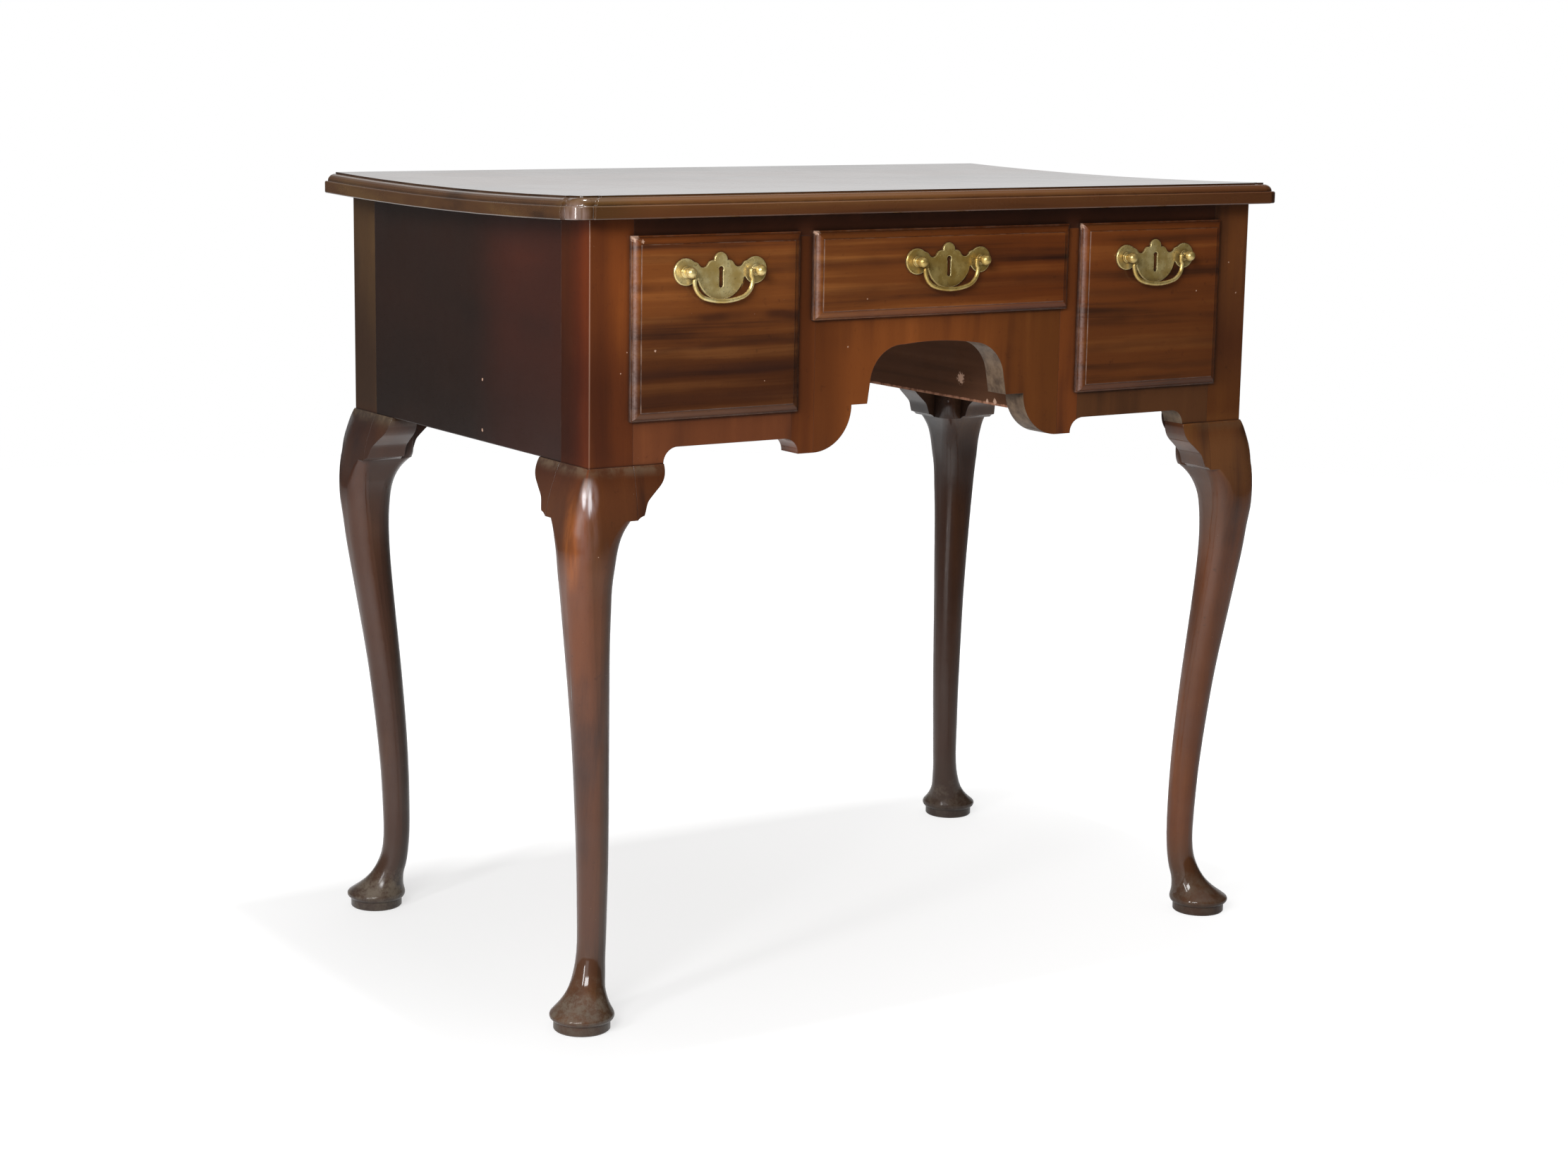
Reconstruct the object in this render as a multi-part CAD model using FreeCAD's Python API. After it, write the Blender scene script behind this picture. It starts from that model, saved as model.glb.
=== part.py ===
import FreeCAD, Part
import math
import os

from FreeCAD import Vector

# A mahogany lowboy: a case with three lipped drawers on four cabriole legs.
# Millimetres. +X is the viewer's right, +Y runs from front to back, +Z is up, the floor is Z = 0.

# Case
case_width = 706.0
case_depth = 454.0
case_bottom = 487.0
case_top = 691.0
post_width = 41.5
post_depth = 47.5
arris_radius = 1.2
panel_thick = 16.0
panel_tongue = 10.0
tongue_thick = 7.0
back_thick = 15.0
back_recess = 2.0

# Top
top_thick = 19.0
top_width = 762.0
top_front_overhang = 22.6
top_back_overhang = 1.0
band_height = 11.0
band_chamfer = 0.9
ovolo_start = 3.0
ovolo_end = 11.2
quirk_height = 1.4
lobe_reach = 21.0
lobe_step = 4.0
cup_depth = 3.9

# Front frame and the openings in it
frame_thick = 26.0
rail_height = 19.0
rail_depth = 52.0
rail_dovetail = 18.0
side_opening_inner = 155.5
centre_opening_half = 132.6
side_opening_bottom = 528.0
centre_opening_bottom = 604.7
tenon_length = 18.0
tenon_thick = 9.0

# Shaped lower edge of the front
flat_edge_height = 500.3
cavetto_radius = 13.0
lobe_corner_x = 148.2
pendant_bottom = 486.5
pendant_radius = 39.2
step_inner_left = 77.0
step_inner_right = 73.8
crown_x = -8.0
arch_crown = 577.3

# The arch was sawn by hand, and its two sides differ: spring, shoulder and haunch
arch_left = [(-74.4, 543.7), (-61.5, 568.4), (-39.0, 575.6)]
arch_right = [(70.5, 543.3), (61.0, 563.4), (39.0, 573.9)]

# Boards inside the case
partition_face = 99.5
partition_thick = 12.0
partition_bottom = 509.0
runner_thick = 14.0
runner_reach = 16.0
guide_height = 14.0
kicker_reach = 22.0

# Drawers
lip_overlap = 4.2
lip_edge = 3.4
lip_fillet = 1.2
lip_moulding = 7.2
lip_quirk = 0.8
front_proud = 7.8
front_body = 15.0
front_gap = 0.15
drawer_side_gap = 1.0
drawer_foot_gap = 0.3
drawer_head_gap = 1.6
drawer_length = 410.0
board_thick = 9.0
bottom_thick = 6.5
bottom_height = 8.0
groove_depth = 4.6
groove_play = 0.1
tail_length = 11.0
tail_flare = 2.4

# Handles
plate_thick = 1.8
plate_bevel = 0.7
rose_radius = 11.2
bore_half = 34.0
shield_radius = 23.0
finial_radius = 6.2
key_slot_half = 1.9
post_shank = 2.0
post_collar = 4.6
post_neck = 3.2
ball_radius = 4.7
ball_reach = 9.9
pivot_reach = 6.0
pin_radius = 1.4
pin_play = 0.05
bail_radius = 1.8
bail_arm_x = 27.0
bail_belly_x = 28.3
bail_bend_rise = 3.6
bail_corner_radius = 15.0
bail_drop = 24.7
bail_bottom_radius = 60.0
nut_width = 9.0
nut_thick = 3.0

# Cabriole legs. The leg's own corner is the case's corner, with U along the front and V along the
# side, both running inwards.
foot_inset_u = 6.5
foot_inset_v = 20.8
pad_radius = 24.6
pad_height = 8.5
shoulder_height = 442.5
front_block_reach = 29.5
side_block_reach = 36.2
block_thick = 24.0
inner_corner = 10.0
inner_corner_low = 15.5

# Knee: height, how far it swells past the side and the front of the case, radius of its ridge
knee_swell = [
    (487.0, 0.9, 1.0, 1.2),
    (482.0, 3.4, 2.6, 1.8),
    (475.0, 6.1, 4.3, 3.0),
    (465.0, 9.6, 6.3, 5.0),
    (453.0, 12.8, 8.1, 8.0),
    (442.5, 15.1, 9.4, 10.5),
]
# Back of the knee: height, swell past side and front, inner faces from the corner, radius
knee_hollow = [
    (442.5, 15.1, 9.4, 39.5, 45.6, 10.5),
    (438.0, 16.0, 9.9, 36.0, 42.4, 11.5),
    (432.0, 16.9, 10.5, 32.2, 39.2, 12.6),
    (424.0, 17.7, 11.0, 29.0, 36.4, 13.9),
    (414.0, 18.2, 11.3, 26.9, 34.0, 15.2),
    (402.0, 17.9, 10.7, 25.4, 33.0, 15.6),
]
# Shank, ankle and foot: height, inset of the centre along U and V, width
shank = [
    (388.0, 3.9, 11.9, 41.4),
    (368.0, 4.8, 12.7, 39.2),
    (340.0, 6.9, 14.9, 36.8),
    (307.0, 10.0, 17.9, 34.7),
    (273.0, 13.3, 21.2, 32.8),
    (239.0, 16.3, 24.5, 31.2),
    (204.0, 18.8, 27.4, 29.8),
    (169.0, 20.9, 29.9, 28.4),
    (133.0, 22.4, 31.9, 27.0),
    (98.0, 22.9, 33.2, 25.8),
    (70.0, 22.6, 33.4, 25.0),
    (54.0, 21.0, 32.4, 25.8),
    (43.0, 18.6, 30.5, 28.2),
    (34.0, 15.5, 28.1, 31.2),
    (27.0, 12.7, 25.8, 36.8),
    (21.0, 9.8, 23.4, 44.4),
    (17.0, 7.7, 21.7, 51.2),
    (13.5, 6.5, 20.8, 55.6),
    (10.5, 6.5, 20.8, 54.2),
    (8.5, 6.5, 20.8, 49.6),
]

# Derived places
half_width = case_width / 2
knee_back_reach = max(station[2] for station in knee_hollow)
overall_depth = top_front_overhang + case_depth + knee_back_reach
top_front = -overall_depth / 2
case_front = top_front + top_front_overhang
case_back = case_front + case_depth
top_height = case_top + top_thick
cup_start = top_front + lobe_reach + ovolo_end + 0.8
cup_curve = cup_depth / (2 * cup_start * top_front - cup_start ** 2)
cup_slope = 2 * cup_curve * cup_start
rail_bottom = case_top - rail_height
side_opening_outer = half_width - post_width
inner_side = half_width - panel_thick
inner_back = case_back - back_recess - back_thick
frame_back = case_front + frame_thick
drawer_face = case_front - front_gap - front_proud
partition_back = partition_face + partition_thick

drawer_specs = {
    "left": {"low_x": -side_opening_outer, "high_x": -side_opening_inner,
             "bottom": side_opening_bottom, "tails": 3, "pivot": 646.0},
    "centre": {"low_x": -centre_opening_half, "high_x": centre_opening_half,
               "bottom": centre_opening_bottom, "tails": 2, "pivot": 648.0},
    "right": {"low_x": side_opening_inner, "high_x": side_opening_outer,
              "bottom": side_opening_bottom, "tails": 3, "pivot": 645.0},
}


def box(x, y, z):
    """A block between two corners, each argument a (low, high) pair."""
    return Part.makeBox(x[1] - x[0], y[1] - y[0], z[1] - z[0], Vector(x[0], y[0], z[0]))


def wire(start, steps):
    """A closed wire; a step is an end point, a (middle, end) pair for an arc or a list for a curve."""
    edges = []
    here = start
    for step in steps:
        if isinstance(step, list):
            curve = Part.BSplineCurve()
            curve.interpolate([here] + step)
            edges.append(curve.toShape())
            here = step[-1]
        elif isinstance(step, tuple):
            edges.append(Part.Arc(here, step[0], step[1]).toShape())
            here = step[1]
        elif here.distanceToPoint(step) > 1e-6:
            edges.append(Part.LineSegment(here, step).toShape())
            here = step
    if here.distanceToPoint(start) > 1e-6:
        edges.append(Part.LineSegment(here, start).toShape())
    return Part.Wire(edges)


def slab(outline, along):
    """The solid swept by a closed wire along a vector."""
    return Part.Face(outline).extrude(along)


def mirrored_x(shape):
    return shape.mirror(Vector(0, 0, 0), Vector(1, 0, 0))


def rounded_rectangle(u, v, radii, z):
    """A rectangle at height z; radii run from the (low, low) corner anticlockwise."""
    k = math.sqrt(0.5)
    corners = [
        (u[0], v[0], 1, 1),
        (u[1], v[0], -1, 1),
        (u[1], v[1], -1, -1),
        (u[0], v[1], 1, -1),
    ]
    starts = []
    for (x, y, sx, sy), r in zip(corners, radii):
        along_u = Vector(x + sx * r, y, z)
        along_v = Vector(x, y + sy * r, z)
        middle = Vector(x + sx * r * (1 - k), y + sy * r * (1 - k), z)
        starts.append((along_u, middle, along_v))
    order = [
        (starts[0][2], starts[0][1], starts[0][0]),
        (starts[1][0], starts[1][1], starts[1][2]),
        (starts[2][2], starts[2][1], starts[2][0]),
        (starts[3][0], starts[3][1], starts[3][2]),
    ]
    edges = []
    for index, (first, middle, last) in enumerate(order):
        edges.append(Part.Arc(first, middle, last).toShape())
        following = order[(index + 1) % 4][0]
        edges.append(Part.LineSegment(last, following).toShape())
    return Part.Wire(edges)


# Top

def top_outline(inset, z):
    """The top's outline with its re-entrant front corners, moved inwards by inset on three sides."""
    w = top_width / 2
    front = top_front
    back = case_back + top_back_overhang
    reach = lobe_reach
    round_radius = lobe_reach - lobe_step
    k = math.sqrt(0.5)

    def corner(side):
        def at(u, v):
            return Vector(side * (w - u), front + v, z)
        radius = round_radius - inset
        middle = reach - radius * k
        points = [
            at(inset, reach + inset),
            at(lobe_step + inset, reach + inset),
            at(lobe_step + inset, reach),
            (at(middle, middle), at(reach, lobe_step + inset)),
            at(reach + inset, lobe_step + inset),
            at(reach + inset, inset),
        ]
        return points

    left = corner(-1)
    right = corner(1)
    backwards = [
        right[5],
        right[4],
        right[3][1],
        (right[3][0], right[2]),
        right[1],
        right[0],
    ]
    start = Vector(-(w - inset), back, z)
    return wire(start, left + backwards + [Vector(w - inset, back, z)])


def top_level(y):
    """Underside of the top, which has hollowed with age: straight at the front, curved behind it."""
    if y < cup_start:
        return case_top + (y - top_front) * cup_slope
    return case_top - cup_depth + cup_curve * y ** 2


def ovolo_profile():
    """Inset and height above the underside of the points round the quarter-round moulding."""
    rise = top_thick - band_height - quirk_height
    steps = 5
    points = []
    for step in range(steps + 1):
        angle = math.radians(88) * step / steps
        inset = ovolo_start + (ovolo_end - ovolo_start) * (1 - math.cos(angle))
        points.append((inset, band_height + rise * math.sin(angle)))
    return points


def flat_top():
    """The board before it hollowed: a square band, an ovolo above it and a quirk round the flat."""
    band = slab(top_outline(0, case_top), Vector(0, 0, band_height))
    back = case_back + top_back_overhang
    rims = []
    for edge in band.Edges:
        flat = abs(edge.BoundBox.ZLength) < 1e-6
        at_back = abs(edge.BoundBox.YMin - back) < 1e-6
        if flat and not at_back:
            rims.append(edge)
    band = band.makeChamfer(band_chamfer, rims)
    sections = [top_outline(inset, case_top + height) for inset, height in ovolo_profile()]
    ovolo = Part.makeLoft(sections, True, False)
    crown = case_top + ovolo_profile()[-1][1]
    flat = slab(top_outline(ovolo_end, crown), Vector(0, 0, top_height - crown))
    return band.fuse([ovolo, flat]).removeSplitter()


def top_section(y):
    """The board cut across at one depth, moulded at both ends."""
    half = top_width / 2
    end = [
        (half - band_chamfer, 0),
        (half, band_chamfer),
        (half, band_height - band_chamfer),
        (half - band_chamfer, band_height),
    ]
    for inset, height in ovolo_profile():
        end.append((half - inset, height))
    end.append((half - ovolo_end, end[-1][1]))
    end.append((half - ovolo_end, top_thick))
    level = top_level(y)
    points = [Vector(x, y, level + height) for x, height in end]
    points += [Vector(-x, y, level + height) for x, height in reversed(end)]
    return wire(points[0], points[1:])


def hollow_stations():
    """Depths at which the hollow behind the front moulding is set out."""
    back = case_back + top_back_overhang
    count = 8
    return [cup_start + (back - cup_start) * step / count for step in range(count + 1)]


def make_top():
    """The moulded front strip with its two corners leans with the board, which curves behind it."""
    half = top_width / 2
    strip = box((-half - 1, half + 1), (top_front - 1, cup_start), (case_top - 1, top_height + 1))
    lean = FreeCAD.Matrix()
    lean.A32 = cup_slope
    lean.A34 = -cup_slope * top_front
    front = flat_top().common(strip).transformGeometry(lean)
    behind = Part.makeLoft([top_section(y) for y in hollow_stations()], True, False)
    return front.fuse(behind)


def space_above_case():
    """What the top takes up; the case's members are scribed to it."""
    half = top_width / 2
    roof = top_height + 10
    back = case_back + top_back_overhang
    start = Vector(-half, top_front, top_level(top_front))
    curve = [Vector(-half, y, top_level(y)) for y in hollow_stations()]
    outline = wire(start, [curve[0], curve[1:], Vector(-half, back, roof), Vector(-half, top_front, roof)])
    return slab(outline, Vector(top_width, 0, 0))


# Legs

def knee_section(station):
    z, swell_u, swell_v, radius = station
    inner = inner_corner_low if z < 450.0 else inner_corner
    return rounded_rectangle(
        (-swell_u, post_width), (-swell_v, post_depth), (radius, 0.3, inner, 0.3), z)


def hollow_section(station):
    z, swell_u, swell_v, inner_u, inner_v, radius = station
    return rounded_rectangle(
        (-swell_u, inner_u), (-swell_v, inner_v), (radius, radius, radius, radius), z)


def shank_section(station):
    z, centre_u, centre_v, width = station
    half = width / 2
    roundness = 0.36 + 0.13 * min(1.0, (430.0 - z) / 200.0)
    radius = width * roundness
    return rounded_rectangle(
        (centre_u - half, centre_u + half), (centre_v - half, centre_v + half), (radius,) * 4, z)


def make_leg():
    """One leg and the corner post above it, worked from a single length of timber."""
    post = box((0, post_width), (0, post_depth), (case_bottom, case_top))
    arris = [e for e in post.Edges if e.BoundBox.XMax < 0.01 and e.BoundBox.YMax < 0.01]
    post = post.makeFillet(arris_radius, arris)
    knee = Part.makeLoft([knee_section(s) for s in knee_swell], True, False)
    below = [hollow_section(s) for s in knee_hollow] + [shank_section(s) for s in shank]
    shaft = Part.makeLoft(below, True, False)
    pad = Part.makeCone(pad_radius - 1.2, pad_radius, 1.2, Vector(foot_inset_u, foot_inset_v, 0))
    pad = pad.fuse(Part.makeCylinder(
        pad_radius, pad_height - 1.2, Vector(foot_inset_u, foot_inset_v, 1.2)))
    leg = post.fuse([knee, shaft, pad])
    side_groove = box(
        (4.4, 4.6 + tongue_thick),
        (post_depth - panel_tongue - 0.2, post_depth + 1),
        (case_bottom + 6, case_top + 1))
    back_groove = box(
        (post_width - panel_tongue - 0.2, post_width + 1),
        (4.4, 4.6 + tongue_thick),
        (case_bottom + 6, case_top + 1))
    return leg, side_groove, back_groove


def rail_tenon_mortise():
    """The mortise in a front post for the tenon of the lower rail."""
    return box(
        (post_width - tenon_length - 0.5, post_width + 1),
        (8.9, 9.1 + tenon_thick),
        (case_bottom + 5.9, side_opening_bottom - 5.9))


def rail_dovetail_plan(play):
    """Half of the top rail's dovetail in a post's head, seen from above, in leg coordinates."""
    end = post_width - rail_dovetail - play
    root = 10.0 - play
    tip = 6.0 - play
    far_root = rail_depth - 20.0 + play
    far_tip = rail_depth - 14.0 + play
    return [
        Vector(post_width + 0.5, root, 0),
        Vector(post_width, root, 0),
        Vector(end, tip, 0),
        Vector(end, far_tip, 0),
        Vector(post_width, far_root, 0),
        Vector(post_width + 0.5, far_root, 0),
    ]


def dovetail_block(play, z):
    points = rail_dovetail_plan(play)
    lifted = [Vector(p.x, p.y, z[0]) for p in points]
    return slab(wire(lifted[0], lifted[1:]), Vector(0, 0, z[1] - z[0]))


def placed_leg_shape(shape, side, end):
    """Move a shape from leg coordinates to a corner of the case: side and end are -1 or 1."""
    moved = shape.copy()
    if side > 0:
        moved = moved.mirror(Vector(0, 0, 0), Vector(1, 0, 0))
    if end > 0:
        moved = moved.mirror(Vector(0, 0, 0), Vector(0, 1, 0))
    corner_y = case_front if end < 0 else case_back
    moved.translate(Vector(side * half_width, corner_y, 0))
    return moved


def make_legs():
    leg, side_groove, back_groove = make_leg()
    front = leg.cut([side_groove, rail_tenon_mortise(), dovetail_block(0.15, (rail_bottom - 0.2, case_top + 1))])
    rear = leg.cut([side_groove, back_groove])
    legs = {}
    for side, side_name in ((-1, "left"), (1, "right")):
        legs["leg_front_" + side_name] = placed_leg_shape(front, side, -1)
        legs["leg_rear_" + side_name] = placed_leg_shape(rear, side, 1)
    return legs


# Knee blocks

def block_outline(root, tip):
    """The scrolled wing beside a knee, from the post's face at root out to its tip."""
    scroll = [
        (1.0, 481.6), (0.95, 475.6), (0.84, 470.6), (0.65, 465.4), (0.5, 461.3),
        (0.365, 457.0), (0.3, 452.4), (0.26, 448.8), (0.22, 446.0),
    ]

    def at(reach, z):
        return Vector(root + reach, 0, z)
    return wire(at(0, case_bottom), [
        at(tip, case_bottom),
        [at(tip * share, z) for share, z in scroll],
        (at(tip * 0.1, 444.8), at(0, shoulder_height)),
    ])


def block_face(swells):
    """The block's section: the swell of the knee outside, flat inside."""
    inner = block_thick
    points = [Vector(0, -s, z) for z, s in swells]
    curve = Part.BSplineCurve()
    curve.interpolate(points)
    top = Vector(0, inner, points[0].z)
    low = Vector(0, inner, points[-1].z)
    edges = [
        curve.toShape(),
        Part.LineSegment(points[-1], low).toShape(),
        Part.LineSegment(low, top).toShape(),
        Part.LineSegment(top, points[0]).toShape(),
    ]
    return Part.Face(Part.Wire(edges))


def make_knee_blocks():
    """Two blocks for each knee: one under the front or back, one under the side."""
    front_swell = [(z, v) for z, u, v, r in knee_swell]
    side_swell = [(z, u) for z, u, v, r in knee_swell]

    blank = Part.Face(block_outline(post_width, front_block_reach)).extrude(Vector(0, 60, 0))
    blank.translate(Vector(0, -30, 0))
    bar = block_face(front_swell).extrude(Vector(side_block_reach + 3, 0, 0))
    bar.translate(Vector(post_width, 0, 0))
    facing = blank.common(bar)

    blank = Part.Face(block_outline(post_depth, side_block_reach)).extrude(Vector(0, 60, 0))
    blank.translate(Vector(0, -30, 0))
    bar = block_face(side_swell).extrude(Vector(side_block_reach + 3, 0, 0))
    bar.translate(Vector(post_depth, 0, 0))
    flank = blank.common(bar)
    flank = flank.mirror(Vector(0, 0, 0), Vector(1, -1, 0))

    blocks = {}
    for side, side_name in ((-1, "left"), (1, "right")):
        for end, end_name, face_name in ((-1, "front", "front"), (1, "rear", "back")):
            stem = "knee_block_" + end_name + "_" + side_name
            blocks[stem + "_" + face_name] = placed_leg_shape(facing, side, end)
            blocks[stem + "_side"] = placed_leg_shape(flank, side, end)
    return blocks


# Case

def make_side_panel():
    """The left side board, with tongues in the posts."""
    y = (case_front + post_depth, case_back - post_depth)
    board = box((-half_width, -inner_side), y, (case_bottom, case_top))
    tongue_y = (y[0] - panel_tongue, y[1] + panel_tongue)
    tongue = box(
        (-half_width + 4.5, -half_width + 4.5 + tongue_thick), tongue_y, (case_bottom + 6.2, case_top))
    return board.fuse(tongue).removeSplitter()


def make_back_board():
    x = half_width - post_width
    y = (inner_back, case_back - back_recess)
    board = box((-x, x), y, (case_bottom, case_top))
    tongue_y = (case_back - 4.5 - tongue_thick, case_back - 4.5)
    tongue = box((-x - panel_tongue, x + panel_tongue), tongue_y, (case_bottom + 6.2, case_top))
    return board.fuse(tongue).removeSplitter()


def make_top_rail():
    """The rail over the drawers, dovetailed down into the heads of the front posts."""
    x = half_width - post_width
    rail = box((-x, x), (case_front, case_front + rail_depth), (rail_bottom, case_top))
    tail = dovetail_block(0, (rail_bottom, case_top))
    pieces = [placed_leg_shape(tail, side, -1) for side in (-1, 1)]
    return rail.fuse(pieces).removeSplitter()


def lower_edge_arc(start_x, centre_x):
    """Height of the cavetto of radius cavetto_radius round centre_x, above start_x."""
    run = start_x - centre_x
    return case_bottom + math.sqrt(cavetto_radius ** 2 - run ** 2)


def make_lower_rail():
    """The rail under the right-hand side drawer, with its shaped lower edge and its tenon."""
    inner = side_opening_inner
    outer = side_opening_outer
    near = lobe_corner_x + cavetto_radius
    far = outer - front_block_reach - cavetto_radius
    k = math.sqrt(0.5)

    def at(x, z):
        return Vector(x, case_front, z)

    meet = lower_edge_arc(inner, near)
    half_angle = (math.acos((near - inner) / cavetto_radius) + math.pi / 2) / 2
    middle = at(near - cavetto_radius * math.cos(half_angle),
                case_bottom + cavetto_radius * math.sin(half_angle))
    outline = wire(at(inner, side_opening_bottom), [
        at(inner, meet),
        (middle, at(near, flat_edge_height)),
        at(far, flat_edge_height),
        (at(far + cavetto_radius * k, case_bottom + cavetto_radius * k),
         at(far + cavetto_radius, case_bottom)),
        at(outer, case_bottom),
        at(outer, side_opening_bottom),
    ])
    rail = slab(outline, Vector(0, frame_thick, 0))
    tenon = box(
        (outer, outer + tenon_length),
        (case_front + 9.0, case_front + 9.0 + tenon_thick),
        (case_bottom + 6, side_opening_bottom - 6))
    return rail.fuse(tenon).removeSplitter()


def make_divider():
    """The upright between the centre and right-hand drawers, down to the pendant lobe."""
    low = centre_opening_half
    high = side_opening_inner
    near = lobe_corner_x + cavetto_radius
    meet = lower_edge_arc(high, near)
    half_angle = math.acos((near - high) / cavetto_radius) / 2

    def at(x, z):
        return Vector(x, case_front, z)

    outline = wire(at(low, rail_bottom), [
        at(low, pendant_bottom),
        at(lobe_corner_x, pendant_bottom),
        at(lobe_corner_x, case_bottom),
        (at(near - cavetto_radius * math.cos(half_angle),
            case_bottom + cavetto_radius * math.sin(half_angle)), at(high, meet)),
        at(high, rail_bottom),
    ])
    return slab(outline, Vector(0, frame_thick, 0))


def make_apron():
    """The arched board under the centre drawer, with half a pendant lobe at each end."""
    k = math.sqrt(0.5)
    edge = centre_opening_half

    def at(x, z):
        return Vector(x, case_front, z)

    centre_z = pendant_bottom + pendant_radius
    step_outer = edge - pendant_radius
    right = [
        (at(edge - pendant_radius * k, centre_z - pendant_radius * k), at(step_outer, centre_z)),
        at(step_inner_right, centre_z),
        at(*arch_right[0]),
        (at(*arch_right[1]), at(*arch_right[2])),
    ]
    left = [
        (at(crown_x, arch_crown), at(*arch_left[2])),
        (at(*arch_left[1]), at(*arch_left[0])),
        at(-step_inner_left, centre_z),
        at(-step_outer, centre_z),
        (at(-edge + pendant_radius * k, centre_z - pendant_radius * k), at(-edge, pendant_bottom)),
    ]
    steps = right + left + [at(-edge, centre_opening_bottom), at(edge, centre_opening_bottom)]
    return slab(wire(at(edge, pendant_bottom), steps), Vector(0, frame_thick, 0))


def make_partition():
    """The board beside the kneehole on the right."""
    return box(
        (partition_face, partition_back), (frame_back, inner_back),
        (partition_bottom, centre_opening_bottom - runner_thick))


def make_centre_runner():
    """Runner and guide for the right side of the centre drawer, housed on the partition."""
    y = (frame_back, inner_back)
    low = centre_opening_bottom - runner_thick
    runner = box((partition_face, side_opening_inner - 1.6), y, (low, centre_opening_bottom))
    guide = box(
        (centre_opening_half, side_opening_inner - 1.6), y,
        (centre_opening_bottom, centre_opening_bottom + guide_height))
    return runner.fuse(guide).removeSplitter()


def make_inner_runner():
    """Runner and guide for the kneehole side of the right-hand drawer."""
    y = (frame_back, inner_back)
    low = side_opening_bottom - runner_thick
    runner = box((partition_back, side_opening_inner + runner_reach), y, (low, side_opening_bottom))
    guide = box(
        (partition_back, side_opening_inner), y,
        (side_opening_bottom, side_opening_bottom + guide_height))
    return runner.fuse(guide).removeSplitter()


def make_outer_runner():
    """Runner and guide for the outer side of the right-hand drawer, between the posts."""
    y = (case_front + post_depth, case_back - post_depth)
    low = side_opening_bottom - runner_thick
    runner = box((side_opening_outer - runner_reach, inner_side), y, (low, side_opening_bottom))
    guide = box(
        (side_opening_outer, inner_side), y,
        (side_opening_bottom, side_opening_bottom + guide_height))
    return runner.fuse(guide).removeSplitter()


def make_kicker():
    """The strip that keeps the centre and right-hand drawers from tipping when they are drawn."""
    return box(
        (centre_opening_half - kicker_reach, side_opening_inner + kicker_reach),
        (case_front + rail_depth, inner_back), (rail_bottom, case_top))


# Drawers

def lip_section(spec, inset, y):
    low_x = spec["low_x"] - lip_overlap + inset
    high_x = spec["high_x"] + lip_overlap - inset
    low_z = spec["bottom"] - lip_overlap + inset
    high_z = rail_bottom + lip_overlap - inset
    return wire(Vector(low_x, y, low_z), [
        Vector(high_x, y, low_z),
        Vector(high_x, y, high_z),
        Vector(low_x, y, high_z),
    ])


def drawer_box(spec):
    """Outer faces of the drawer's box: (low, high) along X and along Z."""
    x = (spec["low_x"] + drawer_side_gap, spec["high_x"] - drawer_side_gap)
    z = (spec["bottom"] + drawer_foot_gap, rail_bottom - drawer_head_gap)
    return x, z


def tails(spec, x, near, far, z):
    """Dovetails between two heights: narrow at near, wide at far, across the board's thickness x."""
    count = spec["tails"]
    pitch = (z[1] - z[0]) / count
    half = pitch * 0.5 - 4.2
    solids = []
    for index in range(count):
        middle = z[0] + pitch * (index + 0.5)
        points = [
            Vector(x[0], near, middle - half),
            Vector(x[0], near, middle + half),
            Vector(x[0], far, middle + half + tail_flare),
            Vector(x[0], far, middle - half - tail_flare),
        ]
        solids.append(slab(wire(points[0], points[1:]), Vector(x[1] - x[0], 0, 0)))
    return solids


def drawer_bottom_box(spec, play):
    x, z = drawer_box(spec)
    inner = (x[0] + board_thick - groove_depth - play, x[1] - board_thick + groove_depth + play)
    y = (case_front + front_body - groove_depth - play, case_front + drawer_length - 1.0)
    height = (z[0] + bottom_height - play, z[0] + bottom_height + bottom_thick + play)
    return inner, y, height


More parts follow.
